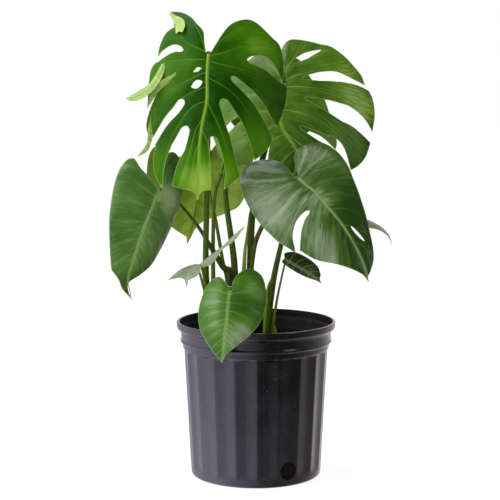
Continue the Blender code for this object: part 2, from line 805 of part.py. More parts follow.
def bend_finger(place, finger):
    """A place on a finger, bent down and turned about the finger's line: its new plan place and its lift."""
    start = Vector(finger["start"])
    reach = Vector(finger["end"]) - start
    length = reach.length
    along = reach.normalized()
    across = Vector((-along.y, along.x))
    s = (place - start).dot(along)
    t = (place - start).dot(across)
    if s <= 0 or abs(t) > finger["wide"]:
        return place, 0
    out, down = arc(s, 0, math.radians(finger["droop"]) / length)
    turn = math.radians(finger["twist"]) * smooth_step(s / length)
    return start + along * out + across * t * math.cos(turn), t * math.sin(turn) - down


def hang(plan, place):
    """A plan place in space: fingers, then the sides' sag, then the bend from lobes to tip, then the pose."""
    height = 0
    for finger in plan["fingers"]:
        place, lift = bend_finger(place, finger)
        height += lift
    tip_reach, lobe_reach, half_width = plan["reach"]
    reach, turn = (tip_reach, plan["bend"][0]) if place.y > 0 else (lobe_reach, plan["bend"][1])
    rate = math.radians(turn) / reach
    out, down = arc(abs(place.y), 0, rate)
    angle = rate * abs(place.y)
    forward = math.copysign(1, place.y)
    side, side_down = arc(abs(place.x), math.radians(plan["fold"]), math.radians(plan["sag"]) / half_width)
    lift = height - side_down
    flat = Vector((
        math.copysign(side, place.x),
        forward * (out + lift * math.sin(angle)),
        lift * math.cos(angle) - down,
    ))
    return Vector(plan["seat"]) + pose(plan) @ flat


def pose(plan):
    """The blade's axes in the world, as columns: across, from seat to tip, and out of the upper face."""
    azimuth, elevation = (math.radians(v) for v in plan["facing"])
    out = Vector((
        math.sin(azimuth) * math.cos(elevation),
        -math.cos(azimuth) * math.cos(elevation),
        math.sin(elevation),
    ))
    down = (Vector((0, 0, -1)) + out * math.sin(elevation)).normalized()
    across = out.cross(down)
    axes = Matrix((across, down, out)).transposed()
    return axes @ Matrix.Rotation(-math.radians(plan["roll"]), 3, "Z")


def thin_blade(name, plan, material_name, collection):
    """A blade of even thickness, with its faces turned so that the upper one faces out."""
    longest = max(plan["reach"][0], plan["reach"][2])
    scale = max(0.4, min(1, longest / SMALL_BLADE))
    places, triangles = flat_blade(plan, MARGIN_STEP * scale, INNER_STEP * scale)
    vertices = [hang(plan, place) for place in places]
    blade = mesh_object(name, vertices, triangles, collection, material_name)
    bm = bmesh.new()
    bm.from_mesh(blade.data)
    bmesh.ops.recalc_face_normals(bm, faces=bm.faces)
    upper = pose(plan) @ Vector((0, 0, 1))
    if sum(face.normal.dot(upper) * face.calc_area() for face in bm.faces) < 0:
        bmesh.ops.reverse_faces(bm, faces=bm.faces)
    bm.to_mesh(blade.data)
    bm.free()
    blade.data.shade_smooth()
    solid = blade.modifiers.new("thickness", "SOLIDIFY")
    solid.thickness = BLADE_THICKNESS * MM
    solid.offset = 0
    return blade


def unite(target, pieces):
    """Joins the collection's objects to the target in one Boolean union, then removes them."""
    boolean(target, "UNION", pieces)
    apply_modifiers(target)
    for piece in list(pieces.objects):
        bpy.data.objects.remove(piece, do_unlink=True)
    bpy.data.collections.remove(pieces)


def make_blade(name, parts):
    plan = LEAVES[name]
    blade = thin_blade(name, plan, plan["material"], parts)
    if "curls" in plan:
        curls = new_collection(name + "_curls")
        for i, curl in enumerate(plan["curls"]):
            apply_modifiers(thin_blade(f"{name}_curl_{i + 1}", curl, plan["material"], curls))
        unite(blade, curls)


def tube(name, places, radii, collection):
    """A stalk: a curve with a round bevel, filled caps and a radius at each place, made a mesh."""
    line = smooth_line(places, STALK_STEP)
    curve = bpy.data.curves.new(name, "CURVE")
    curve.dimensions = "3D"
    curve.bevel_depth = 1 * MM
    curve.bevel_resolution = 2
    curve.use_fill_caps = True
    spline = curve.splines.new("POLY")
    spline.points.add(len(line) - 1)
    for i, place in enumerate(line):
        spline.points[i].co = (*(place * MM), 1)
        spline.points[i].radius = interpolate(radii, i / (len(line) - 1))
    spline.points[-1].radius = min(STALK_END_RADIUS, radii[-1])
    drawn = bpy.data.objects.new(name + "_curve", curve)
    collection.objects.link(drawn)
    bpy.context.view_layer.update()
    graph = bpy.context.evaluated_depsgraph_get()
    mesh = bpy.data.meshes.new_from_object(drawn.evaluated_get(graph))
    bm = bmesh.new()
    bm.from_mesh(mesh)
    bmesh.ops.remove_doubles(bm, verts=bm.verts, dist=0.01 * MM)
    bmesh.ops.recalc_face_normals(bm, faces=bm.faces)
    bm.to_mesh(mesh)
    bm.free()
    made = bpy.data.objects.new(name, mesh)
    made.matrix_world = drawn.matrix_world
    collection.objects.link(made)
    bpy.data.objects.remove(drawn, do_unlink=True)


def stalk_end(plan):
    """The last places of a stalk: it bends over and ends squarely under the blade, a small gap below it."""
    out = pose(plan) @ Vector((0, 0, 1))
    seat = Vector(plan["seat"])
    clear = BLADE_THICKNESS / 2 + GAP + STALK_END_RADIUS * math.sin(math.radians(plan["fold"]))
    near = STALK_END_SHARE * plan["reach"][0]
    return [seat - out * (clear + near), seat - out * clear]


def make_shoot(name, parts):
    """One shoot: its crown and stalks, united into one solid by a Boolean union on a collection."""
    shoot = SHOOTS[name]
    x, y = shoot["base"]
    pieces = new_collection(name + "_pieces")
    bottom = (x, y, SOIL_TOP - HOLE_DEPTH + GAP)
    top = (x, y, SOIL_TOP + CROWN_RISE)
    crown = cylinder(name, shoot["crown"], bottom, top, parts, sides=16)
    for i, stalk in enumerate(shoot["stalks"]):
        path = list(stalk["path"])
        if stalk["blade"]:
            path += stalk_end(LEAVES[stalk["blade"]])
        tube(f"{name}_stalk_{i + 1}", path, stalk["radius"], pieces)
    unite(crown, pieces)
    crown.data.materials.clear()
    crown.data.materials.append(material("stalk_green"))
    crown.data.shade_smooth()


def main():
    clear_scene()
    parts = new_collection("potted swiss cheese plant")
    cutters = new_collection("cutters", visible=False)
    make_pot(parts, cutters)
    make_soil(parts, cutters)
    for name in SHOOTS:
        make_shoot(name, parts)
    for name in LEAVES:
        make_blade(name, parts)


main()
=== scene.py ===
import math
import random

import bmesh
import bpy
import numpy as np
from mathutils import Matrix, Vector, kdtree, noise
from mathutils.geometry import delaunay_2d_cdt


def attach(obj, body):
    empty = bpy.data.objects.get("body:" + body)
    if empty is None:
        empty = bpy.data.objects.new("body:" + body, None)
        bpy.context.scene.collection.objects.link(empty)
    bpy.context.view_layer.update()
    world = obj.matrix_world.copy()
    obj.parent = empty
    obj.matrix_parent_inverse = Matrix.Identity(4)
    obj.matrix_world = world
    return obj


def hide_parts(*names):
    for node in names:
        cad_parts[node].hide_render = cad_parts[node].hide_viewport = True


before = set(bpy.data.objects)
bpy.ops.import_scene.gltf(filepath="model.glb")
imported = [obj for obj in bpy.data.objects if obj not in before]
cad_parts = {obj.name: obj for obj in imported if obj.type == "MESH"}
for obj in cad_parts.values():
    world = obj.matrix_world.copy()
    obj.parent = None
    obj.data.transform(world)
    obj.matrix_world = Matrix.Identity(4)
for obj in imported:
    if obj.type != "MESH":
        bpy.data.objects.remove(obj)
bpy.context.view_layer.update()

mm = 0.001
random.seed(7)
scene = bpy.context.scene
print("frame loaded")


def toLinear(hexColour):  # sRGB hex to the linear values that the shaders mix
    shares = [int(hexColour[i:i + 2], 16) / 255 for i in (1, 3, 5)]
    return tuple(s / 12.92 if s <= 0.04045 else ((s + 0.055) / 1.055) ** 2.4 for s in shares) + (1,)


def addNode(tree, kind, inputs=(), out=0, **settings):
    # The inputs are a dictionary by socket or a list in their order, of links, numbers and hex colours
    node = tree.nodes.new("ShaderNode" + kind)
    for name, value in settings.items():
        setattr(node, name, value)
    for socket, value in inputs.items() if isinstance(inputs, dict) else enumerate(inputs):
        if isinstance(value, bpy.types.NodeSocket):
            tree.links.new(value, node.inputs[socket])
        else:
            node.inputs[socket].default_value = toLinear(value) if isinstance(value, str) else value
    return node.outputs[out]


ofColours = {"data_type": "RGBA", "out": 2}  # a Mix node of the colours in its sockets 6 and 7
smoothly = {"interpolation_type": "SMOOTHSTEP"}
times = {"operation": "MULTIPLY"}


def newFinish(name, **sockets):  # a Principled material with the values that are the same all over
    finish = bpy.data.materials.new(name)
    finish.use_nodes = True
    tree = finish.node_tree
    shader = tree.nodes["Principled BSDF"]
    for socket, value in sockets.items():
        shader.inputs[socket.replace("_", " ")].default_value = value
    return finish, tree, shader, addNode(tree, "TexCoord", out="Object")


def wireShader(tree, shader, colour, roughness, normal):
    tree.links.new(colour, shader.inputs["Base Color"])
    tree.links.new(roughness, shader.inputs["Roughness"])
    tree.links.new(normal, shader.inputs["Normal"])


def makePiece(name, places, faces, finishes, slots=None, fields=None, crease=55):
    mesh = bpy.data.meshes.new(name)
    mesh.from_pydata((np.asarray(places) * mm).tolist(), [], faces)
    for finish in finishes:
        mesh.materials.append(finish)
    if slots is not None:
        mesh.polygons.foreach_set("material_index", slots)
    for field, values in (fields or {}).items():
        mesh.attributes.new(field, "FLOAT", "POINT").data.foreach_set("value", np.asarray(values, np.float32))
    mesh.update()
    mesh.shade_smooth()
    mesh.set_sharp_from_angle(angle=math.radians(crease))
    piece = bpy.data.objects.new(name, mesh)
    scene.collection.objects.link(piece)
    return piece


def smoothLine(points, step):  # Catmull-Rom through the points, a place about every step mm
    knots = np.array(points, float)
    if len(knots) == 2:
        count = max(1, round(float(np.linalg.norm(knots[1] - knots[0])) / step))
        return knots[0] + (knots[1] - knots[0]) * np.linspace(0, 1, count + 1)[:, None]
    knots = np.vstack([2 * knots[0] - knots[1], knots, 2 * knots[-1] - knots[-2]])
    line = [knots[1]]
    for i in range(1, len(knots) - 2):
        before, start, end, after = knots[i - 1:i + 3]
        bend = 2 * before - 5 * start + 4 * end - after
        swing = 3 * start - before - 3 * end + after
        count = max(1, round(float(np.linalg.norm(end - start)) / step))
        for t in np.arange(1, count + 1) / count:
            line.append(0.5 * (2 * start + (end - before) * t + bend * t ** 2 + swing * t ** 3))
    return np.array(line)


def shareAlong(line):
    steps = np.linalg.norm(np.diff(line, axis=0), axis=1)
    return np.concatenate([[0], np.cumsum(steps)]) / steps.sum()


def spread(values, share):  # straight pieces through evenly spaced values
    return np.interp(share, np.linspace(0, 1, len(values)), values)


def ease(t):
    t = np.clip(t, 0, 1)
    return t * t * (3 - 2 * t)


def shifted(faces, first):  # the faces of a part whose places are added after others
    return [[i + first for i in face] for face in faces]


def ringFaces(count, sides, inward=False):  # quads between rings of places, and a cap at each end
    faces = []
    for i in range(count - 1):
        for k in range(sides):
            a, b = i * sides + k, i * sides + (k + 1) % sides
            faces.append([a, b, b + sides, a + sides])
    faces.append(list(reversed(range(sides))))
    faces.append([(count - 1) * sides + k for k in range(sides)])
    return [face[:1] + face[:0:-1] for face in faces] if inward else faces


def gapTo(points, line):  # mm from each point to the line
    best = np.full(len(points), 1e6)
    for a, b in zip(line, line[1:]):
        along = b - a
        share = np.clip((points - a) @ along / max(float(along @ along), 1e-9), 0, 1)
        best = np.minimum(best, np.linalg.norm(points - a - share[:, None] * along, axis=1))
    return best


def gapToRim(points, outlines):
    return np.min([gapTo(points, np.vstack([line, line[:1]])) for line in outlines], axis=0)


def insideOf(points, outline):
    x, y = points[:, 0], points[:, 1]
    crossings = np.zeros(len(points), int)
    for (px, py), (qx, qy) in zip(outline, np.roll(outline, -1, axis=0)):
        if py != qy:
            crossings += ((py > y) != (qy > y)) & (x < px + (y - py) / (qy - py) * (qx - px))
    return crossings % 2 == 1


def onBlade(points, outlines):  # inside the margin and outside each split and hole
    on = insideOf(points, outlines[0])
    for outline in outlines[1:]:
        on &= ~insideOf(points, outline)
    return on


def marginLine(plan, step):
    right, left = (np.vstack([smoothLine(stretch, step)[:-1] for stretch in plan[side]])
                   for side in ("right", "left"))
    return np.vstack([right, [plan["right"][-1][-1]], left[::-1]])


def cutOutline(cut, step, narrowing=6):  # narrow at its inner end, and at both ends where it is a hole
    line = smoothLine(cut["path"], step)
    count = len(line) - 1
    share = np.arange(count + 1) / count
    along = line[np.minimum(np.arange(count + 1) + 1, count)] - line[np.maximum(np.arange(count + 1) - 1, 0)]
    along /= np.linalg.norm(along, axis=1)[:, None]
    half = spread(cut["width"], share) / 2
    half *= 0.3 + 0.7 * ease(share * count * step / narrowing) ** 0.5
    if cut.get("hole"):
        half *= 0.3 + 0.7 * ease((1 - share) * count * step / narrowing) ** 0.5
    across = np.stack([-along[:, 1], along[:, 0]], 1) * half[:, None]
    return np.vstack([line + across, (line - across)[::-1]])


def largestPatch(triangles):
    byEdge = {}
    for i, (a, b, c) in enumerate(triangles):
        for edge in ((a, b), (b, c), (c, a)):
            byEdge.setdefault((min(edge), max(edge)), []).append(i)
    seen, best = set(), []
    for first in range(len(triangles)):
        if first in seen:
            continue
        patch = [first]
        seen.add(first)
        for i in patch:
            a, b, c = triangles[i]
            for edge in ((a, b), (b, c), (c, a)):
                for other in byEdge[(min(edge), max(edge))]:
                    if other not in seen:
                        seen.add(other)
                        patch.append(other)
        if len(patch) > len(best):
            best = patch
    return [triangles[i] for i in best]


# Leaf blades: drawn flat in mm, x across and y from the seat to the tip, then bent and hung as the solids are

def arc(length, start, rate):  # along and down a line that starts at an angle and turns evenly
    rate = np.where(np.abs(rate) < 1e-6, 1e-6, rate)
    end = start + rate * length
    return (np.sin(end) - np.sin(start)) / rate, (np.cos(start) - np.cos(end)) / rate


def outwardOf(plan):  # the way a blade's upper side looks
    azimuth, elevation = (math.radians(v) for v in plan["facing"])
    level = math.cos(elevation)
    return np.array([math.sin(azimuth) * level, -math.cos(azimuth) * level, math.sin(elevation)])


def hangBlade(plan, x, y, lift, creaseRound=3):
    for finger in plan["fingers"]:
        start = np.array(finger["start"], float)
        reach = np.array(finger["end"], float) - start
        length = float(np.linalg.norm(reach))
        along = reach / length
        across = np.array([-along[1], along[0]])
        s = (x - start[0]) * along[0] + (y - start[1]) * along[1]
        t = (x - start[0]) * across[0] + (y - start[1]) * across[1]
        on = (s > 0) & (np.abs(t) <= finger["wide"])
        out, down = arc(s, 0, math.radians(finger["droop"]) / length)
        turn = math.radians(finger["twist"]) * ease(s / length)
        aside = t * np.cos(turn) - lift * np.sin(turn)
        lift = np.where(on, t * np.sin(turn) - down + lift * np.cos(turn), lift)
        x = np.where(on, start[0] + along[0] * out + across[0] * aside, x)
        y = np.where(on, start[1] + along[1] * out + across[1] * aside, y)
    tipReach, lobeReach, halfWidth = plan["reach"]
    tipBend, lobeBend = (math.radians(v) for v in plan["bend"])
    forward = np.where(y > 0, 1, -1)
    rate = np.where(y > 0, tipBend / tipReach, lobeBend / lobeReach)
    out, down = arc(np.abs(y), 0, rate)
    angle = rate * np.abs(y)
    side, sideDown = arc(np.abs(x), math.radians(plan["fold"]), math.radians(plan["sag"]) / halfWidth)
    softened = math.tan(math.radians(plan["fold"])) * creaseRound * np.exp(-np.abs(x) / creaseRound)
    height = lift - sideDown - softened
    flat = np.stack([np.copysign(side, x), forward * (out + height * np.sin(angle)),
                     height * np.cos(angle) - down])
    outward = outwardOf(plan)
    downward = np.array([0, 0, -1]) + outward * outward[2]
    downward /= np.linalg.norm(downward)
    roll = math.radians(plan["roll"])
    turned = np.array([[math.cos(roll), math.sin(roll), 0], [-math.sin(roll), math.cos(roll), 0], [0, 0, 1]])
    axes = np.stack([np.cross(outward, downward), downward, outward], 1) @ turned
    return np.array(plan["seat"], float) + (axes @ flat).T


# laterals of the smaller leaves: where on the midrib they start, and degrees away from the tip at the seat
fanForm = {"from": 0.01, "over": 0.82, "seatAngle": 152, "turn": 112, "steps": 8, "curl": 0.045}


def fanVeins(plan, side):  # they run backwards in the lobes and forwards near the tip
    count, length = plan["fan"]
    rib = smoothLine(plan["midrib"], 2)
    axis = rib[-1] - rib[0]
    tilt = math.atan2(axis[0], axis[1])
    veins = []
    for i in range(count):
        share = i / (count - 1)
        place = rib[int((len(rib) - 1) * (fanForm["from"] + fanForm["over"] * share ** 1.15))]
        turn = math.radians(fanForm["seatAngle"] - fanForm["turn"] * share ** 0.55)
        vein = [tuple(place)]
        for step in range(fanForm["steps"]):
            angle = tilt + side * turn * (1 - fanForm["curl"] * step)
            place = place + np.array([math.sin(angle), math.cos(angle)]) * length / fanForm["steps"]
            vein.append(tuple(place))
        veins.append(vein)
    return veins


# mm: where the pleats fade beside the rim and the midrib, the groove over the midrib, and the slow waves
relief = {"rimFade": 9, "ribFade": 16, "groove": 0.9, "grooveReach": 4, "waveLength": 31, "waveRim": 22}


def bladeFields(plan, points, outlines, rib, veins):
    # How far each place is from the midrib, the nearest lateral and the rim, and how high the pleats lift it
    ribGap = gapTo(points, rib)
    rimGap = gapToRim(points, outlines)
    order = np.argsort(rib[:, 1])
    onRight = points[:, 0] > np.interp(points[:, 1], rib[order, 1], rib[order, 0])
    near = np.full(len(points), 1e3)
    second = np.full(len(points), 2e3)
    for side, isRight in (("right", True), ("left", False)):
        for line in veins[side]:
            gap = np.where(onRight == isRight, gapTo(points, line), 1e3)
            second = np.minimum(second, np.maximum(gap, near))
            near = np.minimum(near, gap)
    pleat = near / np.maximum(near + second, 1e-6)
    fade = ease(rimGap / relief["rimFade"]) * ease(ribGap / relief["ribFade"])
    groove = relief["groove"] * np.exp(-ribGap / relief["grooveReach"])
    length = relief["waveLength"]
    wave = np.array([noise.noise(Vector((x / length, y / length, 5.3))) for x, y in points])
    rise = plan["pleat"] * np.sin(np.pi * pleat) * fade - groove
    rise = rise + wave * plan["wave"] * (0.4 + 1.2 * ease(1 - rimGap / relief["waveRim"]))
    # painted light and shade: each listed spot makes the colour lighter where light falls or sheen shows, or
    # darker, with less than nothing, where the blade lies in shade
    tone = np.zeros(len(points))
    for x, y, size, amount in plan["paintedLightSpots"]:
        tone += amount * np.exp(-((points[:, 0] - x) ** 2 + (points[:, 1] - y) ** 2) / size ** 2)
    return {"ribGap": ribGap, "rimGap": rimGap, "veinGap": near, "tone": tone, "rise": rise}


def fillOutline(outlines, lines, fine):  # even triangles on the blade, with edges along its rims and veins
    fixed, edges = [], []
    for outline in outlines:
        edges += [(len(fixed) + i, len(fixed) + (i + 1) % len(outline)) for i in range(len(outline))]
        fixed += outline.tolist()
    for line in lines:
        edges += [(len(fixed) + i, len(fixed) + i + 1) for i in range(len(line) - 1)]
        fixed += line.tolist()
    tree = kdtree.KDTree(len(fixed))
    for i, (x, y) in enumerate(fixed):
        tree.insert((x, y, 0), i)
    tree.balance()
    low, high = outlines[0].min(0), outlines[0].max(0)
    rows = np.arange(low[1], high[1], fine * 0.866)  # the height of a triangle with equal sides
    columns = np.arange(low[0], high[0], fine)
    grid = np.array([(x + (i % 2) * fine / 2, y) for i, y in enumerate(rows) for x in columns])
    grid = grid[insideOf(grid, outlines[0])]
    grid = [p for p in grid.tolist() if tree.find((p[0], p[1], 0))[2] > fine * 0.6]
    points, _, triangles = delaunay_2d_cdt([Vector(p) for p in fixed + grid], edges, [], 0, 0.02)[:3]
    points = np.array([tuple(p) for p in points])
    corners = np.array([tuple(t) for t in triangles])
    keep = onBlade(points[corners].mean(axis=1), outlines)
    corners = np.array(largestPatch([tuple(int(i) for i in t) for t in corners[keep]]))
    used, corners = np.unique(corners, return_inverse=True)
    # the plan is seen from below, so the faces are turned to face out
    return points[used], corners.reshape(-1, 3)[:, ::-1]


# the flesh of the ribs: least radii and the gap left to the rim in mm, and the shares of its radius by which
# the midrib is sunk and a lateral stands out below
ribForm = {"taper": 0.7, "least": 0.25, "sunk": 0.62, "veinTaper": 0.75, "veinLeast": 0.16,
           "veinOut": 0.2, "rimLeft": 1.2}


def bladeRibs(plan, outlines, rib, veins, thick):  # each one's line, and its radii and heights along it
    wide, narrow = plan["ribWidth"]
    radii = np.maximum((wide + (narrow - wide) * shareAlong(rib) ** ribForm["taper"]) / 2, ribForm["least"])
    ribs = [(rib, radii, thick / 2 - ribForm["sunk"] * radii)]
    for line in veins["right"] + veins["left"]:
        kept = onBlade(line, outlines) & (gapToRim(line, outlines) > ribForm["rimLeft"])
        for run in np.split(np.arange(len(line)), np.flatnonzero(np.diff(kept.astype(int))) + 1):
            if kept[run[0]] and len(run) > 3:
                taper = 1 - ribForm["veinTaper"] * shareAlong(line)[run]
                radii = np.maximum(plan["veinWidth"] / 2 * taper, ribForm["veinLeast"])
                ribs.append((line[run], radii, -thick / 2 - ribForm["veinOut"] * radii))
    return ribs


def ribTube(line, radii, heights, sides):  # rings in plan places: x, y and height above the blade's middle
    along = np.gradient(line, axis=0)
    along /= np.linalg.norm(along, axis=1)[:, None]
    rings = []
    for k in range(sides):
        angle = 2 * math.pi * k / sides
        aside = radii * math.cos(angle)
        rings.append(np.stack([line[:, 0] - along[:, 1] * aside, line[:, 1] + along[:, 0] * aside,
                               heights + radii * math.sin(angle)], 1))
    return np.stack(rings, 1).reshape(-1, 3), ringFaces(len(line), sides, inward=True)


def bladeMesh(plan, fine, thick):
    outlines = [marginLine(plan, fine)] + [cutOutline(cut, fine * 0.8) for cut in plan["cuts"]]
    rib = smoothLine(plan["midrib"], fine)
    veins = plan.get("veins") or {"right": fanVeins(plan, 1), "left": fanVeins(plan, -1)}
    veins = {side: [smoothLine(vein, fine) for vein in veins[side]] for side in veins}
    points, corners = fillOutline(outlines, [rib] + veins["right"] + veins["left"], fine)
    fields = bladeFields(plan, points, outlines, rib, veins)
    flat = np.column_stack([points, fields.pop("rise")])
    places = np.vstack([flat + [0, 0, thick / 2], flat - [0, 0, thick / 2]])
    count = len(points)
    faces = corners.tolist() + (corners[:, ::-1] + count).tolist()
    slots = [0] * len(corners) + [1] * len(corners)
    edges = dict.fromkeys(edge for a, b, c in corners.tolist() for edge in ((a, b), (b, c), (c, a)))
    for a, b in edges:
        if (b, a) not in edges:
            faces.append([b, a, a + count, b + count])
            slots.append(1)
    fields = {field: np.concatenate([values, values]) for field, values in fields.items()}
    for line, radii, heights in bladeRibs(plan, outlines, rib, veins, thick):
        base = bladeFields(plan, line, outlines, rib, veins)
        sides = 8 if radii[0] > 1 else 5
        tubePlaces, tubeFaces = ribTube(line, radii, heights + base["rise"], sides)
        faces += shifted(tubeFaces, len(places))
        slots += [2] * len(tubeFaces)
        places = np.vstack([places, tubePlaces])
        for field in fields:
            fields[field] = np.concatenate([fields[field], np.repeat(base[field], sides)])
    return hangBlade(plan, *places.T), faces, slots, fields


# what a plan has unless it says otherwise, and what a curled finger adds to its own, in mm and degrees
# a plan's spots of painted light and shade give x, y and size in mm, and how much lighter they make the blade
plainLeaf = {"cuts": [], "fingers": [], "curls": [], "paintedLightSpots": [], "wave": 1.0, "veinWidth": 1.1}
plainCurl = {"fold": 0, "fan": (5, 16), "ribWidth": (1.8, 0.6), "pleat": 0.5, "wave": 0.7, "veinWidth": 0.7}


def growBlade(name, node, plan, finishes, fine=3.0, thick=0.7):
    plan = {**plainLeaf, **plan}
    places, faces, slots, fields = bladeMesh(plan, fine, thick)
    for curl in plan["curls"]:
        curlPlan = {**plainLeaf, **plainCurl, **curl}
        curlPlaces, curlFaces, curlSlots, curlFields = bladeMesh(curlPlan, fine * 0.6, thick)
        faces += shifted(curlFaces, len(places))
        places = np.vstack([places, curlPlaces])
        slots += curlSlots
        fields = {field: np.concatenate([values, curlFields[field]]) for field, values in fields.items()}
    piece = makePiece(name, places, faces, finishes, slots, fields)
    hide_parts(node)
    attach(piece, "root")
    print(f"{name}: {len(faces)} faces")
    return piece


def fieldOf(tree, name):
    return addNode(tree, "Attribute", out="Fac", attribute_name=name)


def waxyUpper(name, look):
    # Living leaf under a wax cuticle: deep green pigment with thin light veins, and wax as a soft sheen, with
    # painted shade and painted sheen laid over the pigment
    finish, tree, shader, place = newFinish(name, Metallic=0, IOR=1.45, Specular_IOR_Level=look["specular"],
                                            Coat_Weight=look["wax"], Coat_Roughness=look["waxRough"],
                                            Coat_IOR=1.45)
    broad = addNode(tree, "TexNoise", {"Vector": place, "Scale": 1 / (46 * mm), "Detail": 3.0})
    tone, rimGap = fieldOf(tree, "tone"), fieldOf(tree, "rimGap")
    veinGap, ribGap = fieldOf(tree, "veinGap"), fieldOf(tree, "ribGap")
    # wrinkles run along the laterals: 4 mm across them, 22 mm along
    across = addNode(tree, "Math", [veinGap, 1 / 4], **times)
    outward = addNode(tree, "Math", [ribGap, 1 / 22], **times)
    drift = addNode(tree, "TexNoise", {"Vector": place, "Scale": 1 / (30 * mm)})
    ofLine = addNode(tree, "CombineXYZ", [across, outward, drift])
    wrinkles = addNode(tree, "TexNoise", {"Vector": ofLine, "Scale": 1.0, "Detail": 3.0})
    # painted shade in the hollows of the wrinkles and painted sheen on their crests, added to the spots of
    # painted light and shade; with a random mottle they set how deep or fresh the green is
    crease = addNode(tree, "MapRange", [wrinkles, 0.3, 0.7, -look["crease"], look["crease"]])
    paintedShadeAndSheen = addNode(tree, "Math", [crease, tone])
    shade = addNode(tree, "Math", [addNode(tree, "Math", [broad, 0.6], **times), paintedShadeAndSheen])
    level = addNode(tree, "MapRange", [shade, 0.2, 0.85])
    green = addNode(tree, "Mix", {0: level, 6: look["deep"], 7: look["fresh"]}, **ofColours)
    # painted sheen and highlight: where the painted light is strong the green turns to the look's lit colour
    sheen = addNode(tree, "MapRange", [paintedShadeAndSheen, 0.5, look["sheenFull"]])
    lit = addNode(tree, "Mix", {0: sheen, 6: green, 7: look["lit"]}, **ofColours)
    # veins are clear beside the midrib and fade out towards the margin
    fade = addNode(tree, "MapRange", [ribGap, 4.0, look["veinReach"], look["veinShow"], 0.0])
    veinLine = addNode(tree, "MapRange", [veinGap, 0.2, 1.0, 1.0, 0.0], **smoothly)
    veinShow = addNode(tree, "Math", [veinLine, fade], **times)
    veined = addNode(tree, "Mix", {0: veinShow, 6: lit, 7: look["vein"]}, **ofColours)
    ribZone = addNode(tree, "MapRange", [ribGap, 0.8, 4.0, 0.6, 0.0], **smoothly)
    ribbed = addNode(tree, "Mix", {0: ribZone, 6: veined, 7: look["vein"]}, **ofColours)
    rim = addNode(tree, "MapRange", [rimGap, 0.1, 1.3, 0.6, 0.0], **smoothly)
    rimmed = addNode(tree, "Mix", {0: rim, 6: ribbed, 7: look["rim"]}, **ofColours)
    # pale flecks of dust and scale, real ones 0.5 mm, drawn as 1.6 mm to show
    flecks = addNode(tree, "TexNoise", {"Vector": place, "Scale": 1 / (1.6 * mm), "Detail": 1.0})
    fleckShow = addNode(tree, "MapRange", [flecks, 0.74, 0.84, 0.0, 0.2])
    flecked = addNode(tree, "Mix", {0: fleckShow, 6: rimmed, 7: "#c9cfae"}, **ofColours)
    dull = addNode(tree, "MapRange", [broad, 0.3, 0.7, look["rough"] - 0.05, look["rough"] + 0.07])
    # small veins net the blade: real meshes are about 2 mm, drawn as 4 mm so that the sheen shows them
    net = addNode(tree, "TexVoronoi", {"Vector": place, "Scale": 1 / (4 * mm)}, feature="DISTANCE_TO_EDGE")
    netLine = addNode(tree, "MapRange", [net, 0.0, 0.2], **smoothly)
    netBump = addNode(tree, "Bump", {"Height": netLine, "Strength": 0.35, "Distance": 0.12 * mm})
    cockles = addNode(tree, "TexNoise", {"Vector": place, "Scale": 1 / (11 * mm), "Detail": 3.0})
    cockled = addNode(tree, "Bump", {"Height": cockles, "Strength": 0.6, "Distance": look["cockle"] * mm,
                                     "Normal": netBump})
    wrinkled = addNode(tree, "Bump", {"Height": wrinkles, "Strength": 0.8, "Normal": cockled,
                                      "Distance": look["crease"] * 3 * mm})
    wireShader(tree, shader, flecked, dull, wrinkled)
    return finish


def paleUnder(name, look):
    # Underside: no wax, more air between the cells, so it is paler and matt with raised light veins
    finish, tree, shader, place = newFinish(name, Metallic=0, IOR=1.42, Specular_IOR_Level=0.3)
    broad = addNode(tree, "TexNoise", {"Vector": place, "Scale": 1 / (30 * mm), "Detail": 3.0})
    level = addNode(tree, "MapRange", [broad, 0.32, 0.7])
    green = addNode(tree, "Mix", {0: level, 6: look["underDeep"], 7: look["underFresh"]}, **ofColours)
    net = addNode(tree, "TexVoronoi", {"Vector": place, "Scale": 1 / (4.5 * mm)}, feature="DISTANCE_TO_EDGE")
    netLine = addNode(tree, "MapRange", [net, 0.0, 0.2, 0.3, 0.0], **smoothly)
    netted = addNode(tree, "Mix", {0: netLine, 6: green, 7: look["underDeep"]}, **ofColours)
    veinLine = addNode(tree, "MapRange", [fieldOf(tree, "veinGap"), 0.3, 2.2, 0.6, 0.0], **smoothly)
    veined = addNode(tree, "Mix", {0: veinLine, 6: netted, 7: look["underVein"]}, **ofColours)
    dull = addNode(tree, "MapRange", [broad, 0, 1, 0.5, 0.68])
    bump = addNode(tree, "Bump", {"Height": netLine, "Strength": 0.5, "Distance": 0.25 * mm})
    wireShader(tree, shader, veined, dull, bump)
    return finish


def ribFlesh(name, look):
    # Midrib and laterals: firm yellow-green flesh, smooth and faintly streaked lengthwise
    finish, tree, shader, place = newFinish(name, Metallic=0, IOR=1.45, Specular_IOR_Level=0.4)
    streaks = addNode(tree, "TexNoise", {"Vector": place, "Scale": 1 / (9 * mm), "Detail": 4.0})
    colour = addNode(tree, "Mix", {0: streaks, 6: look["ribDeep"], 7: look["rib"]}, **ofColours)
    dull = addNode(tree, "MapRange", [streaks, 0, 1, 0.34, 0.5])
    bump = addNode(tree, "Bump", {"Height": streaks, "Strength": 0.4, "Distance": 0.2 * mm})
    wireShader(tree, shader, colour, dull, bump)
    return finish


def bladeFinishes(name, look):
    return [waxyUpper(name + "WaxyUpper", look), paleUnder(name + "PaleUnder", look),
            ribFlesh(name + "Rib", look)]
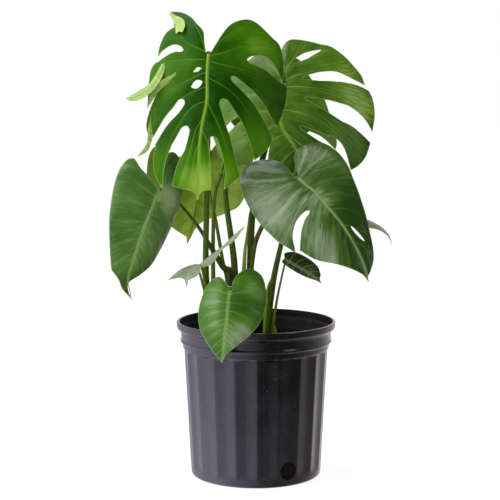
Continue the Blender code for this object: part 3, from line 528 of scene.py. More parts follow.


# colours of pigment, painted sheen and highlight (lit), veins, rim, flesh and underside; cockle and veinReach
# in mm, the rest shares; crease also sets the painted shade and sheen of the wrinkles
brightLook = {"deep": "#113a00", "fresh": "#3f7202", "lit": "#7f9c38", "vein": "#6f9628", "rim": "#8dae4e",
              "rib": "#80a010", "ribDeep": "#567c06", "underDeep": "#7c9644", "underFresh": "#8fa854",
              "underVein": "#a0b46c", "specular": 0.06, "wax": 0.03, "waxRough": 0.3, "rough": 0.42,
              "cockle": 0.6, "crease": 0.07, "sheenFull": 1.0, "veinShow": 0.5, "veinReach": 95}
oliveLook = dict(brightLook, deep="#2a4e04", fresh="#557a1a", lit="#8aa34e", vein="#8ba24e", rim="#93a862",
                 underDeep="#48660f", underFresh="#5f8026", underVein="#7d9a44", specular=0.15, wax=0.15,
                 waxRough=0.28, rough=0.4, cockle=0.9, crease=0.2, veinShow=0.6, veinReach=120)
shadeLook = dict(oliveLook, underDeep="#6c8a1c", underFresh="#94b03c", underVein="#98ac58", wax=0.05)
splitLook = dict(oliveLook, deep="#3a5e02", fresh="#5a8606", lit="#789a2c", vein="#66862c", rim="#6c8a34",
                 underDeep="#4a7002", underFresh="#648e06", underVein="#7c9c24", specular=0.08, wax=0.05)
freshLook = dict(brightLook, deep="#2a5210", fresh="#4a7220", lit="#748a64", vein="#7f9a56", rim="#93a676",
                 rib="#5e8e26", ribDeep="#44701a", specular=0.12, wax=0.15, waxRough=0.16, rough=0.38,
                 cockle=1.2, crease=0.2, sheenFull=0.95, veinShow=0.35, veinReach=34)
darkLook = {"deep": "#1b3804", "fresh": "#3c591e", "lit": "#6e7d5e", "vein": "#6c7f48", "rim": "#76855e",
            "rib": "#7d9250", "ribDeep": "#5c7236", "underDeep": "#5a7022", "underFresh": "#84984e",
            "underVein": "#98a872", "specular": 0.14, "wax": 0.22, "waxRough": 0.16, "rough": 0.4,
            "cockle": 1.6, "crease": 0.22, "sheenFull": 0.95, "veinShow": 0.35, "veinReach": 45}
heartLook = dict(darkLook, deep="#2f5418", fresh="#578234", lit="#90aa70", vein="#86a060", rim="#8a9c74",
                 rib="#86a260", ribDeep="#648440", specular=0.25, wax=0.2, cockle=1.0, crease=0.16,
                 sheenFull=1.0, veinReach=60)
youngLook = dict(darkLook, deep="#1a2c06", fresh="#34461c", lit="#667052", vein="#70785c", rim="#5a6644",
                 rib="#5c6c3c", ribDeep="#3c4c22", specular=0.08, wax=0.06, crease=0.12, sheenFull=1.0,
                 veinShow=0.7, veinReach=60)
paleLook = dict(darkLook, deep="#72805a", fresh="#98a384", lit="#a6ae96", vein="#a4ac90", rim="#9aa384",
                rib="#7a8858", ribDeep="#5c6a3c", underDeep="#6c8a1c", underFresh="#94b03c",
                underVein="#98ac58", specular=0.25, wax=0.1, crease=0.1, sheenFull=1.0, veinReach=60)
brightBlade = bladeFinishes("bright", brightLook)
oliveBlade = bladeFinishes("olive", oliveLook)
darkBlade = bladeFinishes("dark", darkLook)
heartBlade = bladeFinishes("heart", heartLook)
freshBlade = bladeFinishes("fresh", freshLook)
youngBlade = bladeFinishes("young", youngLook)
paleBlade = bladeFinishes("pale", paleLook)
shadeBlade = bladeFinishes("shade", shadeLook)
splitBlade = bladeFinishes("split", splitLook)
print("leaf finishes ready")


# the big split leaf at the top front
bigSplitLeaf = {
    "seat": (-71.7, -70, 659.7),
    "facing": (0, 22),
    "roll": 0,
    "reach": (232, 70, 125),
    "bend": (14, 22),
    "fold": 4,
    "sag": 34,
    "right": [
        [(4, -3), (13, -20), (29, -50), (44, -65), (61, -75), (74, -73), (88, -62), (101, -51),
         (114, -42), (121, -21), (123, 10), (120, 30)],
        [(120, 30), (130, 36)],
        [(130, 36), (128, 58), (120, 84), (109, 108)],
        [(109, 108), (98, 114)],
        [(98, 114), (101, 126), (99, 135), (88, 148), (73, 161)],
        [(73, 161), (60, 178), (45, 190)],
        [(45, 190), (34, 200), (25, 207)],
        [(25, 207), (5, 208)],
        [(5, 208), (-9, 211), (-15, 224)],
    ],
    "left": [
        [(-4, -3), (-6, -19), (-8, -38), (-18, -54), (-28, -70), (-44, -86), (-63, -96)],
        [(-63, -96), (-56, -78), (-54, -54)],
        [(-54, -54), (-66, -47), (-74, -33), (-79, -16), (-80, 3)],
        [(-80, 3), (-91, 14), (-95, 32), (-97, 56), (-97, 77)],
        [(-97, 77), (-90, 68), (-81, 58)],
        [(-81, 58), (-87, 68), (-91, 86), (-91, 106), (-88, 122)],
        [(-88, 122), (-82, 140)],
        [(-82, 140), (-86, 160), (-83, 183), (-72, 203)],
        [(-72, 203), (-56, 201)],
        [(-56, 201), (-40, 206), (-22, 211), (-15, 224)],
    ],
    "cuts": [
        {"path": [(60, 5), (85, 4), (103, 15), (119, 32)], "width": (9, 22, 16, 2), "hole": True},
        {"path": [(35, 35), (62, 57), (80, 76), (106, 115)], "width": (8, 12, 14, 14)},
        {"path": [(21, 71), (33, 96), (47, 128), (62, 182)], "width": (12, 24, 28, 28)},
        {"path": [(6, 129), (11, 150), (15, 180), (14, 214)], "width": (12, 18, 21, 17)},
        {"path": [(-32, 112), (-42, 137), (-56, 168), (-64, 208)], "width": (12, 22, 18, 14)},
        {"path": [(-38, 70), (-49, 86), (-66, 104), (-88, 136)], "width": (12, 12, 9, 9)},
        {"path": [(-39, -8), (-52, -14), (-67, -9), (-82, 5)], "width": (7, 14, 12, 3)},
        {"path": [(-11, 23), (-15, 24), (-19, 27), (-22, 28)], "width": (4, 6, 6, 4), "hole": True},
        {"path": [(-9, 45), (-14, 46), (-20, 50), (-25, 52)], "width": (8, 11, 11, 8), "hole": True},
    ],
    "curls": [
        {"seat": (-137, -57, 646.5), "facing": (164, -32), "roll": 36, "reach": (84, 10, 24),
         "bend": (8, 0), "sag": 14,
         "midrib": [(0, 0), (-8, 20), (-14, 40), (-13, 62), (-6, 78)],
         "right": [[(4, -5), (3, 4), (-3, 22), (-8, 43), (-4, 66), (0, 83)]],
         "left": [[(-4, -5), (-6, 5), (-15, 20), (-21, 36), (-24, 53), (-20, 71), (-10, 81), (0, 83)]]},
        {"seat": (-120.3, -72.4, 627.9), "facing": (180, -5), "roll": 41, "reach": (66, 10, 14),
         "bend": (4, 0), "sag": 10,
         "midrib": [(0, 0), (2, 12), (5, 26), (6, 42), (2, 60)],
         "right": [[(3, -3), (6, 6), (10, 16), (12, 28), (10, 44), (6, 56), (0, 66)]],
         "left": [[(-3, -3), (-2, 8), (2, 24), (3, 42), (1, 56), (0, 66)]]},
        {"seat": (-155, -73, 581.5), "facing": (0, 11), "roll": -16, "reach": (46, 10, 14),
         "bend": (0, 0), "sag": 14,
         "midrib": [(1, 0), (2, 8), (2.5, 18), (3, 30), (5, 40)],
         "right": [[(4, -6), (7, 6), (8, 18), (7, 30), (5, 44)]],
         "left": [[(-2, -6), (-3, 6), (-3, 20), (-1, 33), (5, 44)]]},
        {"seat": (-158.5, -77, 554), "facing": (189, -16), "roll": 24, "reach": (56, 10, 14),
         "bend": (6, 0), "sag": 14,
         "midrib": [(-1, 0), (-3, 8), (-6, 20), (-8, 32), (-4, 46)],
         "right": [[(2, -5), (2, 4), (-1, 13), (-5, 27), (-4, 40), (0, 55)]],
         "left": [[(-4, -5), (-7, 7), (-11, 22), (-11, 40), (0, 55)]]},
        {"seat": (-131.7, -9.8, 720.4), "facing": (139, -35), "roll": -42, "reach": (56, 10, 20),
         "bend": (0, 0), "sag": 4,
         "midrib": [(-1, 0), (-4, 14), (-8, 26), (-9, 38), (-8, 48)],
         "right": [[(1, -3), (-1, 15), (-1, 33), (1, 50)], [(1, 50), (-5, 50), (-10, 57)]],
         "left": [[(-2, -4), (-7, 10), (-14, 22), (-18, 33), (-17, 47), (-10, 57)]]},
    ],
    "midrib": [(0, 0), (-2, 36), (-2, 73), (-9, 110), (-13, 146), (-14, 190), (-15, 219)],
    "veins": {
        "right": [[(2, -7), (20, -24), (42, -50), (60, -74)],
                  [(3, 3), (23, -3), (48, -15), (76, -24), (110, -36)],
                  [(4, 13), (28, 18), (56, 22), (81, 30), (101, 36), (121, 38)],
                  [(-1, 38), (20, 49), (39, 62), (56, 82), (69, 108), (82, 150)],
                  [(-3, 72), (10, 100), (20, 122), (29, 152), (36, 192)],
                  [(-9, 118), (0, 140), (3, 165), (2, 206)]],
        "left": [[(-5, -8), (-14, -36), (-28, -62), (-50, -86)],
                 [(-6, -4), (-29, -17), (-44, -32), (-54, -50)],
                 [(-6, 9), (-38, 8), (-68, 8), (-84, 22), (-92, 48), (-95, 70)],
                 [(-3, 29), (-28, 40), (-54, 50), (-78, 60), (-88, 84), (-90, 106)],
                 [(-3, 52), (-24, 60), (-46, 72), (-66, 94), (-80, 114), (-85, 128)],
                 [(-3, 74), (-25, 84), (-44, 108), (-62, 142), (-74, 196)],
                 [(-8, 100), (-18, 118), (-26, 146), (-36, 180), (-44, 204)],
                 [(-12, 134), (-20, 156), (-24, 182), (-28, 208)]],
    },
    "ribWidth": (7, 1.4),
    "pleat": 1.5,
    "paintedLightSpots": [(80, -24, 44, 0.65), (-80, 30, 62, 0.35), (85, 134, 34, 0.45), (38, 182, 34, 0.35),
              (-6, 200, 38, 0.9), (-60, 170, 40, 0.3), (20, 50, 40, -0.2), (-28, 86, 26, -0.2)],
}
piece = growBlade("blade_a", "leaf_a", bigSplitLeaf, brightBlade)

# the split leaf behind it on the right
backSplitLeaf = {
    "seat": (44.3, 40, 615.3),
    "facing": (-8, 22),
    "roll": -1,
    "reach": (185, 80, 150),
    "bend": (14, 20),
    "fold": 5,
    "sag": 34,
    "right": [
        [(3, -5), (-5, -36), (-9, -62), (0, -80), (16, -84), (50, -82), (69, -83), (88, -73),
         (108, -57), (125, -40), (134, -19)],
        [(134, -19), (144, -7), (152, 11), (155, 33), (153, 53), (151, 69)],
        [(151, 69), (149, 82)],
        [(149, 82), (142, 105), (130, 122), (111, 136)],
        [(111, 136), (88, 148)],
        [(88, 148), (60, 158), (34, 164)],
        [(34, 164), (16, 172), (4, 190)],
    ],
    "left": [
        [(-5, -3), (-14, -36), (-26, -58), (-42, -61), (-60, -50), (-93, -24), (-112, 6), (-118, 34),
         (-108, 62)],
        [(-108, 62), (-122, 82)],
        [(-122, 82), (-107, 111), (-93, 128), (-62, 136)],
        [(-62, 132), (-18, 150)],
        [(-18, 150), (-10, 168), (4, 190)],
    ],
    "cuts": [
        {"path": [(10, -36), (28, -51), (54, -70)], "width": (6, 12, 3), "hole": True},
        {"path": [(27, -10), (52, -17), (84, -23), (118, -20), (142, -14)], "width": (4, 16, 19, 9, 5)},
        {"path": [(34, 22), (56, 27), (86, 35), (122, 48), (158, 80)], "width": (4, 18, 30, 24, 12)},
        {"path": [(29, 70), (60, 83), (92, 98), (104, 146)], "width": (5, 14, 18, 30)},
        {"path": [(-56, 48), (-82, 62), (-108, 84)], "width": (6, 12, 14)},
        {"path": [(-16, 84), (-27, 108), (-38, 156)], "width": (8, 22, 30)},
    ],
    "midrib": [(0, 0), (-2, 30), (-2, 64), (8, 84), (24, 106), (27, 130), (16, 164), (4, 186)],
    "veins": {
        "right": [[(-3, -4), (2, -26), (14, -52), (22, -80)],
                  [(-1, -3), (15, -13), (34, -21), (58, -32), (100, -50)],
                  [(2, 6), (33, 4), (69, 4), (104, 10), (150, 18)],
                  [(-1, 44), (27, 47), (56, 55), (82, 71), (110, 92), (134, 112)],
                  [(2, 76), (30, 98), (54, 112), (72, 124), (92, 146)],
                  [(20, 100), (34, 118), (42, 136), (48, 160)]],
        "left": [[(-4, -8), (-22, -30), (-46, -56)], [(-4, 4), (-32, -6), (-70, -20), (-92, -22)],
                 [(-4, 20), (-36, 16), (-76, 16), (-114, 24)], [(-3, 44), (-30, 46), (-60, 42), (-106, 56)],
                 [(-2, 64), (-26, 76), (-56, 86), (-100, 102)],
                 [(4, 84), (-20, 96), (-46, 116), (-60, 134)], [(22, 108), (6, 124), (-8, 150)]],
    },
    "ribWidth": (7.5, 2),
    "pleat": 1.6,
    "paintedLightSpots": [(-70, 60, 70, 0.5), (92, -36, 50, 0.5), (106, 16, 40, 0.3), (30, 30, 36, 0.3),
              (138, 26, 30, 0.55), (0, 40, 26, -0.1), (62, -8, 22, -0.45), (70, 34, 20, -0.35)],
}
piece = growBlade("blade_b", "leaf_b", backSplitLeaf, oliveBlade)

# the dark glossy leaf at the right front
glossyRightLeaf = {
    "seat": (61.8, -75, 473.9),
    "facing": (-8, 44),
    "roll": 34,
    "reach": (200, 62, 110),
    "bend": (34, 12),
    "fold": 2,
    "sag": 26,
    "right": [
        [(4, -4), (7, -16), (17, -41), (27, -54), (43, -62), (62, -62), (77, -53), (86, -33), (87, 0),
         (77, 41), (66, 83), (55, 120), (44, 152), (34, 172), (19, 187)],
        [(19, 187), (13, 191), (10, 199)],
    ],
    "left": [
        [(-2, -5), (-4, -35), (-15, -61), (-34, -78), (-56, -78), (-74, -54), (-84, -18), (-87, 24),
         (-80, 72), (-67, 105)],
        [(-67, 105), (-57, 110)],
        [(-57, 110), (-45, 132), (-22, 153), (-5, 170), (6, 184)],
        [(6, 184), (8, 190), (10, 199)],
    ],
    "cuts": [
        {"path": [(-14, 60), (-32, 67), (-49, 84), (-63, 112)], "width": (6, 12, 12, 5)},
        {"path": [(28, 112), (31, 126), (35, 141)], "width": (3, 5, 3), "hole": True},
    ],
    "midrib": [(1, 0), (4, 16), (10, 40), (13, 70), (17, 102), (18, 141), (16, 170), (11, 194)],
    "veins": {
        "right": [[(4, -4), (16, -22), (30, -40), (42, -60)], [(3, 2), (28, -12), (54, -28), (78, -48)],
                  [(6, 8), (34, 0), (60, -3), (88, -12)], [(8, 26), (36, 24), (62, 26), (86, 30)],
                  [(11, 48), (38, 52), (60, 62), (78, 78)], [(14, 74), (34, 82), (50, 96), (62, 112)],
                  [(17, 104), (30, 114), (42, 130), (50, 148)], [(18, 134), (28, 146), (34, 164)]],
        "left": [[(-1, -4), (-10, -22), (-22, -44), (-34, -74)],
                 [(-2, -1), (-26, -18), (-46, -36), (-68, -60)], [(-3, 5), (-32, 0), (-58, -4), (-86, -6)],
                 [(2, 18), (-22, 24), (-54, 34), (-88, 40)], [(6, 32), (-16, 42), (-44, 58), (-78, 80)],
                 [(10, 56), (-6, 74), (-26, 98), (-48, 128)], [(14, 84), (2, 104), (-12, 126), (-28, 150)],
                 [(17, 112), (8, 132), (0, 152), (-8, 168)]],
    },
    "ribWidth": (4.4, 1.4),
    "pleat": 1.7,
    "wave": 1.8,
    "paintedLightSpots": [(-66, -12, 42, 0.7), (-56, 46, 46, 0.85), (44, 124, 50, -0.5), (12, 54, 26, 0.7),
              (-22, 110, 30, 0.85), (-28, 147, 22, 0.85), (42, -34, 42, 0.85), (72, 14, 30, 0.2)],
}
piece = growBlade("blade_c", "leaf_c", glossyRightLeaf, darkBlade)

# the whole heart-shaped leaf on the left
heartLeaf = {
    "seat": (-143.2, -60, 454.9),
    "facing": (38, 12),
    "roll": -28,
    "reach": (175, 62, 74),
    "bend": (10, 16),
    "fold": 12,
    "sag": 36,
    "right": [
        [(-3, -3), (-9, -30), (-7, -54), (2, -69), (20, -74), (39, -55), (55, -20), (56, 16), (48, 62),
         (35, 106), (18, 131), (2, 150)],
        [(2, 150), (0, 158), (8, 168), (23, 175)],
    ],
    "left": [
        [(-6, -1), (-38, -21), (-54, -38), (-66, -31), (-73, -2), (-69, 41), (-61, 76), (-48, 111),
         (-32, 146)],
        [(-32, 146), (-17, 156), (-4, 168), (23, 175)],
    ],
    "midrib": [(-3, 2), (-5, 19), (-7, 46), (-8, 80), (-7, 108), (-6, 130), (-2, 152), (14, 170)],
    "veins": {
        "right": [[(-4, -6), (-2, -30), (8, -58), (18, -72)], [(-2, 0), (12, -14), (30, -30), (46, -36)],
                  [(-3, 8), (20, 4), (40, 2), (56, 4)], [(-5, 26), (16, 26), (36, 30), (54, 36)],
                  [(-6, 50), (14, 54), (30, 62), (44, 74)], [(-7, 76), (10, 84), (22, 94), (34, 106)],
                  [(-7, 102), (4, 112), (14, 124), (20, 132)]],
        "left": [[(-6, -3), (-22, -14), (-38, -22)], [(-6, 3), (-28, -12), (-48, -26), (-66, -30)],
                 [(-7, 14), (-30, 8), (-52, 2), (-74, 4)], [(-8, 34), (-30, 34), (-52, 34), (-70, 40)],
                 [(-9, 58), (-28, 64), (-48, 72), (-62, 80)], [(-9, 84), (-24, 94), (-38, 106), (-48, 116)],
                 [(-8, 108), (-20, 120), (-30, 134), (-34, 146)]],
    },
    "ribWidth": (4.4, 1.4),
    "pleat": 1.5,
    "wave": 1.4,
    "paintedLightSpots": [(8, -2, 26, 0.6), (28, 8, 24, 0.8), (12, 80, 26, 0.5), (18, 44, 24, 0.2), (-56, 38, 30, 0.3),
              (-8, 124, 28, 0.4)],
}
piece = growBlade("blade_e", "leaf_e", heartLeaf, heartBlade)

# the small heart-shaped leaf over the rim
rimLeaf = {
    "seat": (-39.5, -116, 311.3),
    "facing": (-6, 24),
    "roll": -5,
    "reach": (112, 40, 56),
    "bend": (14, 24),
    "fold": 6,
    "sag": 30,
    "right": [
        [(3, -4), (3, -12), (8, -24), (19, -38), (34, -42), (49, -31), (59, 5), (56, 36), (42, 62),
         (24, 81), (8, 97)],
        [(8, 97), (4, 103), (2, 112)],
    ],
    "left": [
        [(-4, -4), (-8, -10), (-20, -19), (-32, -13), (-42, 4), (-48, 36), (-40, 66), (-20, 91),
         (-6, 105)],
        [(-6, 105), (2, 112)],
    ],
    "midrib": [(0, 0), (0, 22), (1, 48), (1, 78), (2, 108)],
    "fan": (8, 62),
    "ribWidth": (2, 0.7),
    "pleat": 1.1,
    "paintedLightSpots": [(-26, 18, 26, 0.7), (-16, 58, 18, 0.5), (32, -8, 20, 0.7), (26, 62, 24, 0.9),
              (10, 86, 18, 0.5), (16, 22, 20, -0.4)],
}
piece = growBlade("blade_f", "leaf_f", rimLeaf, freshBlade)

# the leaf at the back left, seen from below
backLeftLeaf = {
    "seat": (-76, 88, 505),
    "facing": (186, 20),
    "roll": 12,
    "reach": (162, 46, 90),
    "bend": (12, 20),
    "fold": 4,
    "sag": 26,
    "right": [
        [(3, -3), (18, 3), (34, 10), (50, 15), (62, 13), (76, 2), (91, -6), (102, 3), (104, 21), (99, 50),
         (83, 87), (59, 116), (32, 137), (14, 146), (4, 150)],
        [(4, 150), (0, 163)],
    ],
    "left": [
        [(-3, -3), (-14, -28), (-32, -42), (-54, -36), (-70, -12), (-78, 20), (-76, 52), (-70, 76),
         (-58, 90), (-39, 105), (-19, 118), (-8, 134), (-4, 148)],
        [(-4, 148), (0, 163)],
    ],
    "midrib": [(0, 0), (1, 40), (1, 90), (0, 130), (0, 160)],
    "fan": (8, 105),
    "ribWidth": (6, 1.8),
    "pleat": 1.3,
}
piece = growBlade("blade_g", "leaf_g", backLeftLeaf, shadeBlade)

# the leaf at the top back, seen through the splits
backTopLeaf = {
    "seat": (30, 128, 620),
    "facing": (176, 24),
    "roll": -6,
    "reach": (124, 50, 100),
    "bend": (14, 20),
    "fold": 4,
    "sag": 28,
    "right": [
        [(3, -3), (12, -20), (30, -29), (52, -27), (74, -10), (88, 18), (86, 50)],
        [(86, 50), (70, 76), (40, 96), (10, 106)],
        [(10, 106), (0, 118)],
    ],
    "left": [
        [(-3, -3), (-12, -27), (-30, -40), (-48, -38), (-61, -6), (-81, 28), (-90, 61), (-97, 100)],
        [(-97, 100), (-98, 112), (-94, 124)],
        [(-94, 124), (-72, 103), (-50, 92)],
        [(-50, 92), (-30, 101), (-12, 106)],
        [(-12, 106), (0, 118)],
    ],
    "midrib": [(0, 0), (0, 40), (0, 80), (0, 115)],
    "fan": (8, 100),
    "ribWidth": (6, 1.8),
    "pleat": 1.3,
}
piece = growBlade("blade_h", "leaf_h", backTopLeaf, splitBlade)

# a juvenile leaf left of the stalks
firstLeaf = {
    "seat": (-90, -60, 340),
    "facing": (-10, 62),
    "roll": -24,
    "reach": (60, 14, 40),
    "bend": (40, 10),
    "fold": 0,
    "sag": 10,
    "right": [
        [(2, -3), (9, 3), (13, 12), (13, 22), (9, 28), (4, 33)],
        [(4, 33), (8, 45)],
    ],
    "left": [
        [(-3, -2), (-11, 8), (-20, 22), (-28, 43)],
        [(-28, 43), (-19, 38), (-10, 34), (-2, 34)],
        [(-2, 34), (2, 38), (8, 45)],
    ],
    "midrib": [(0, 0), (0, 14), (2, 28), (7, 42)],
    "fan": (5, 30),
    "ribWidth": (2.6, 1),
    "pleat": 0.5,
    "wave": 0.5,
}
piece = growBlade("blade_i", "leaf_i", firstLeaf, paleBlade)

# a narrow juvenile leaf above it
secondLeaf = {
    "seat": (-87, -48, 338),
    "facing": (-40, 40),
    "roll": 141,
    "reach": (92, 4, 12),
    "bend": (-14, 0),
    "fold": 24,
    "sag": 10,
    "right": [
        [(1.5, -3), (9, 8), (10, 20), (5, 36), (2.5, 46)],
        [(2.5, 46), (5, 58), (5, 72), (0, 93)],
    ],
    "left": [
        [(-1.5, -3), (-9, 8), (-10, 20), (-5, 36), (-2.5, 46)],
        [(-2.5, 46), (-5, 58), (-5, 72), (0, 93)],
    ],
    "midrib": [(0, 0), (0, 30), (0, 60), (0, 90)],
    "fan": (6, 14),
    "ribWidth": (2.4, 0.8),
    "pleat": 0.3,
    "wave": 0.4,
}
piece = growBlade("blade_i_upper", "leaf_i_upper", secondLeaf, paleBlade)

# the small dark leaf on the right
thirdLeaf = {
    "seat": (45.2, -24, 344),
    "facing": (-12, 32),
    "roll": 60,
    "reach": (66, 8, 26),
    "bend": (24, 0),
    "fold": 14,
    "sag": 24,
    "right": [
        [(2, -3), (9, -8), (18, -3), (25, 6), (28, 28), (24, 48), (13, 60)],
        [(13, 60), (5, 63), (1, 69)],
    ],
    "left": [
        [(-2, -3), (-6, -3), (-8, 8), (-8, 28), (-5, 46), (0, 61)],
        [(0, 61), (1, 69)],
    ],
    "midrib": [(0, 0), (1, 22), (2, 44), (1, 66)],
    "fan": (6, 34),
    "ribWidth": (1.8, 0.8),
    "pleat": 0.9,
    "wave": 0.5,
    "paintedLightSpots": [(8, 44, 14, 0.6)],
}
piece = growBlade("blade_j", "leaf_j", thirdLeaf, youngBlade)

# the curled leaf behind the right one
curledLeaf = {
    "seat": (110.9, 34, 431.3),
    "facing": (60, 62),
    "roll": 23,
    "reach": (132, 20, 34),
    "bend": (0, 10),
    "fold": 10,
    "sag": 24,
    "right": [
        [(2, -2), (10, -16), (24, -20), (34, -6), (35, 24), (30, 52), (20, 74), (11, 94), (6, 112)],
        [(6, 112), (0, 132)],
    ],
    "left": [
        [(-2, -2), (-10, -16), (-24, -20), (-34, -6), (-35, 24), (-30, 52), (-20, 74), (-11, 94),
         (-6, 112)],
        [(-6, 112), (0, 132)],
    ],
    "fingers": [
        {"start": (0, 90), "end": (0, 132), "wide": 16, "droop": 55, "twist": 0},
    ],
    "midrib": [(0, 0), (0, 40), (0, 80), (0, 128)],
    "fan": (7, 44),
    "ribWidth": (3.4, 1),
    "pleat": 0.8,
    "wave": 0.5,
}
piece = growBlade("blade_k", "leaf_k", curledLeaf, paleBlade)

# the rolled new leaf between the stalks
rolledLeaf = {
    "seat": (-58, 0, 474),
    "facing": (-60, 4),
    "roll": 172,
    "reach": (62, 2, 8),
    "bend": (26, 0),
    "fold": 30,
    "sag": 30,
    "right": [
        [(1.5, -1), (7, 10), (8, 26), (5, 44)],
        [(5, 44), (0, 62)],
    ],
    "left": [
        [(-1.5, -1), (-7, 10), (-8, 26), (-5, 44)],
        [(-5, 44), (0, 62)],
    ],
    "midrib": [(0, 0), (0, 20), (0, 40), (0, 60)],
    "fan": (4, 16),
    "ribWidth": (2.2, 0.8),
    "pleat": 0.2,
    "wave": 0.2,
}
piece = growBlade("blade_spear", "leaf_spear", rolledLeaf, brightBlade)


def stalkFlesh(name):
    # Leaf stalk: firm green stem flesh with a thin wax, finely ribbed lengthwise, with pale flecks
    finish, tree, shader, place = newFinish(name, Metallic=0, IOR=1.45, Specular_IOR_Level=0.12,
                                            Coat_Weight=0.03, Coat_Roughness=0.35)
    stretched = addNode(tree, "Mapping", {"Vector": place, "Scale": (1, 1, 0.16)})
    streaks = addNode(tree, "TexNoise", {"Vector": stretched, "Scale": 1 / (3.2 * mm), "Detail": 4.0})
    level = addNode(tree, "Math", [streaks, fieldOf(tree, "tone")], use_clamp=True)
    green = addNode(tree, "Mix", {0: level, 6: "#172503", 7: "#5c7618"}, **ofColours)
    # pale pores, real ones 1 mm, drawn as 2.2 mm to show
    flecks = addNode(tree, "TexNoise", {"Vector": place, "Scale": 1 / (2.2 * mm), "Detail": 1.0})
    fleckShow = addNode(tree, "MapRange", [flecks, 0.64, 0.72, 0.0, 0.3])
    flecked = addNode(tree, "Mix", {0: fleckShow, 6: green, 7: "#8c9c5a"}, **ofColours)
    dull = addNode(tree, "MapRange", [streaks, 0, 1, 0.36, 0.52])
    bump = addNode(tree, "Bump", {"Height": streaks, "Strength": 0.5, "Distance": 0.35 * mm})
    wireShader(tree, shader, flecked, dull, bump)
    return finish


def sheathSkin(name):
    # Old leaf sheath: thin skin drying from yellow-green to straw brown towards its point
    finish, tree, shader, place = newFinish(name, Metallic=0, IOR=1.42, Specular_IOR_Level=0.3)
    stretched = addNode(tree, "Mapping", {"Vector": place, "Scale": (1, 1, 0.2)})
    streaks = addNode(tree, "TexNoise", {"Vector": stretched, "Scale": 1 / (3 * mm), "Detail": 5.0})
    dried = addNode(tree, "MapRange", [fieldOf(tree, "along"), 0.55, 1.0])
    green = addNode(tree, "Mix", {0: streaks, 6: "#546e10", 7: "#8ca030"}, **ofColours)
    straw = addNode(tree, "Mix", {0: streaks, 6: "#4c3a1e", 7: "#a08a52"}, **ofColours)
    colour = addNode(tree, "Mix", {0: dried, 6: green, 7: straw}, **ofColours)
    dull = addNode(tree, "MapRange", [streaks, 0, 1, 0.45, 0.7])
    bump = addNode(tree, "Bump", {"Height": streaks, "Strength": 0.6, "Distance": 0.4 * mm})
    wireShader(tree, shader, colour, dull, bump)
    return finish


# gaps and lengths in mm, angles in radians, kneeReach a share of the blade's and kneeSpan of the knee's,
# seatTaper mm for each mm from the end, and the rest shares of the radius
stalkForm = {"seatGap": 0.8, "kneeReach": 0.07, "kneeGap": 1.5, "kneeSpan": 0.7, "knee": 0.16,
             "seat": 0.62, "seatTaper": 0.35, "groove": 0.13, "grooveAt": 1.6, "grooveWide": 0.42,
             "ripple": 0.03, "rippleLength": 18, "thin": 4.5}


def seatEnd(plan):  # the last places of a stalk, square to the blade's underside
    outward, seat = outwardOf(plan), np.array(plan["seat"], float)
    gap, knee = stalkForm["seatGap"], stalkForm["kneeReach"] * plan["reach"][0]
    return [tuple(seat - outward * (gap + knee)), tuple(seat - outward * gap)]


def sweepStalk(stalk, sides, fine=4):
    plan = stalk.get("plan")
    path = stalk["path"] + (seatEnd(plan) if plan else [])
    coarse = smoothLine(path, 24)
    line = smoothLine(path, fine)
    share = shareAlong(line)
    radii = np.interp(share, shareAlong(coarse), spread(stalk["radius"], np.linspace(0, 1, len(coarse))))
    fromEnd = (1 - share) * float(np.linalg.norm(np.diff(line, axis=0), axis=1).sum())
    if plan:
        # the knee under the blade is a little thicker than the stalk, and narrows to the seat
        knee = stalkForm["kneeGap"] + stalkForm["kneeReach"] * plan["reach"][0]
        swell = np.exp(-((fromEnd - knee) / (stalkForm["kneeSpan"] * knee)) ** 2)
        radii = radii * (1 + stalkForm["knee"] * swell)
        radii = np.minimum(radii, stalkForm["seat"] * radii[0] + fromEnd * stalkForm["seatTaper"])
    tangent = np.gradient(line, axis=0)
    tangent /= np.linalg.norm(tangent, axis=1)[:, None]
    normal = np.cross(tangent[0], [0, 1, 0])
    normal /= np.linalg.norm(normal)
    places, along, tone = [], [], []
    for middle, ahead, radius, done in zip(line, tangent, radii, share):
        normal = normal - ahead * float(normal @ ahead)
        normal /= np.linalg.norm(normal)
        aside = np.cross(ahead, normal) * stalk.get("flat", 1)
        for k in range(sides):
            angle = 2 * math.pi * k / sides
            away = (angle - stalkForm["grooveAt"]) / stalkForm["grooveWide"]
            groove = 1 - stalkForm["groove"] * math.exp(-away ** 2)
            rough = noise.noise(Vector((middle[2] / stalkForm["rippleLength"], k * 1.3, stalk["radius"][0])))
            reach = radius * groove * (1 + stalkForm["ripple"] * rough)
            places.append(tuple(middle + (normal * math.cos(angle) + aside * math.sin(angle)) * reach))
            along.append(done)
            tone.append(stalk["tone"] + 0.1 * noise.noise(Vector((done * 5, 0.3, k * 0.1))))
    return places, ringFaces(len(line), sides), along, tone


# a crown's rings from inside the mix to its top: height in mm and share of its radius; a scar is a share too
crownTop, scarDepth, scarReach = 213, 0.05, 1.04
crownRings = [(148, 1), (170, 1), (190, 1), (196, 0.98), (199, 1.02), (202, 0.94), (204, 1.0), (207, 0.93),
              (209, 0.94), (211, 0.82), (212.5, 0.6), (213.2, 0.3)]


def turnCrown(base, radius, sides=28):  # the short stem that the stalks grow from, ringed with old leaf scars
    places, along = [], []
    for z, share in crownRings:
        for k in range(sides):
            angle = 2 * math.pi * k / sides
            scar = scarDepth * noise.noise(Vector((math.cos(angle) * 2, math.sin(angle) * 2, z / 5)))
            r = radius * min(share + scar, scarReach)
            places.append((base[0] + r * math.cos(angle), base[1] + r * math.sin(angle), z))
            along.append(z / crownTop)
    return places, ringFaces(len(crownRings), sides), along, [0.05] * len(places)


stalkFinishes = [stalkFlesh("stalkFlesh"), sheathSkin("driedSheath")]

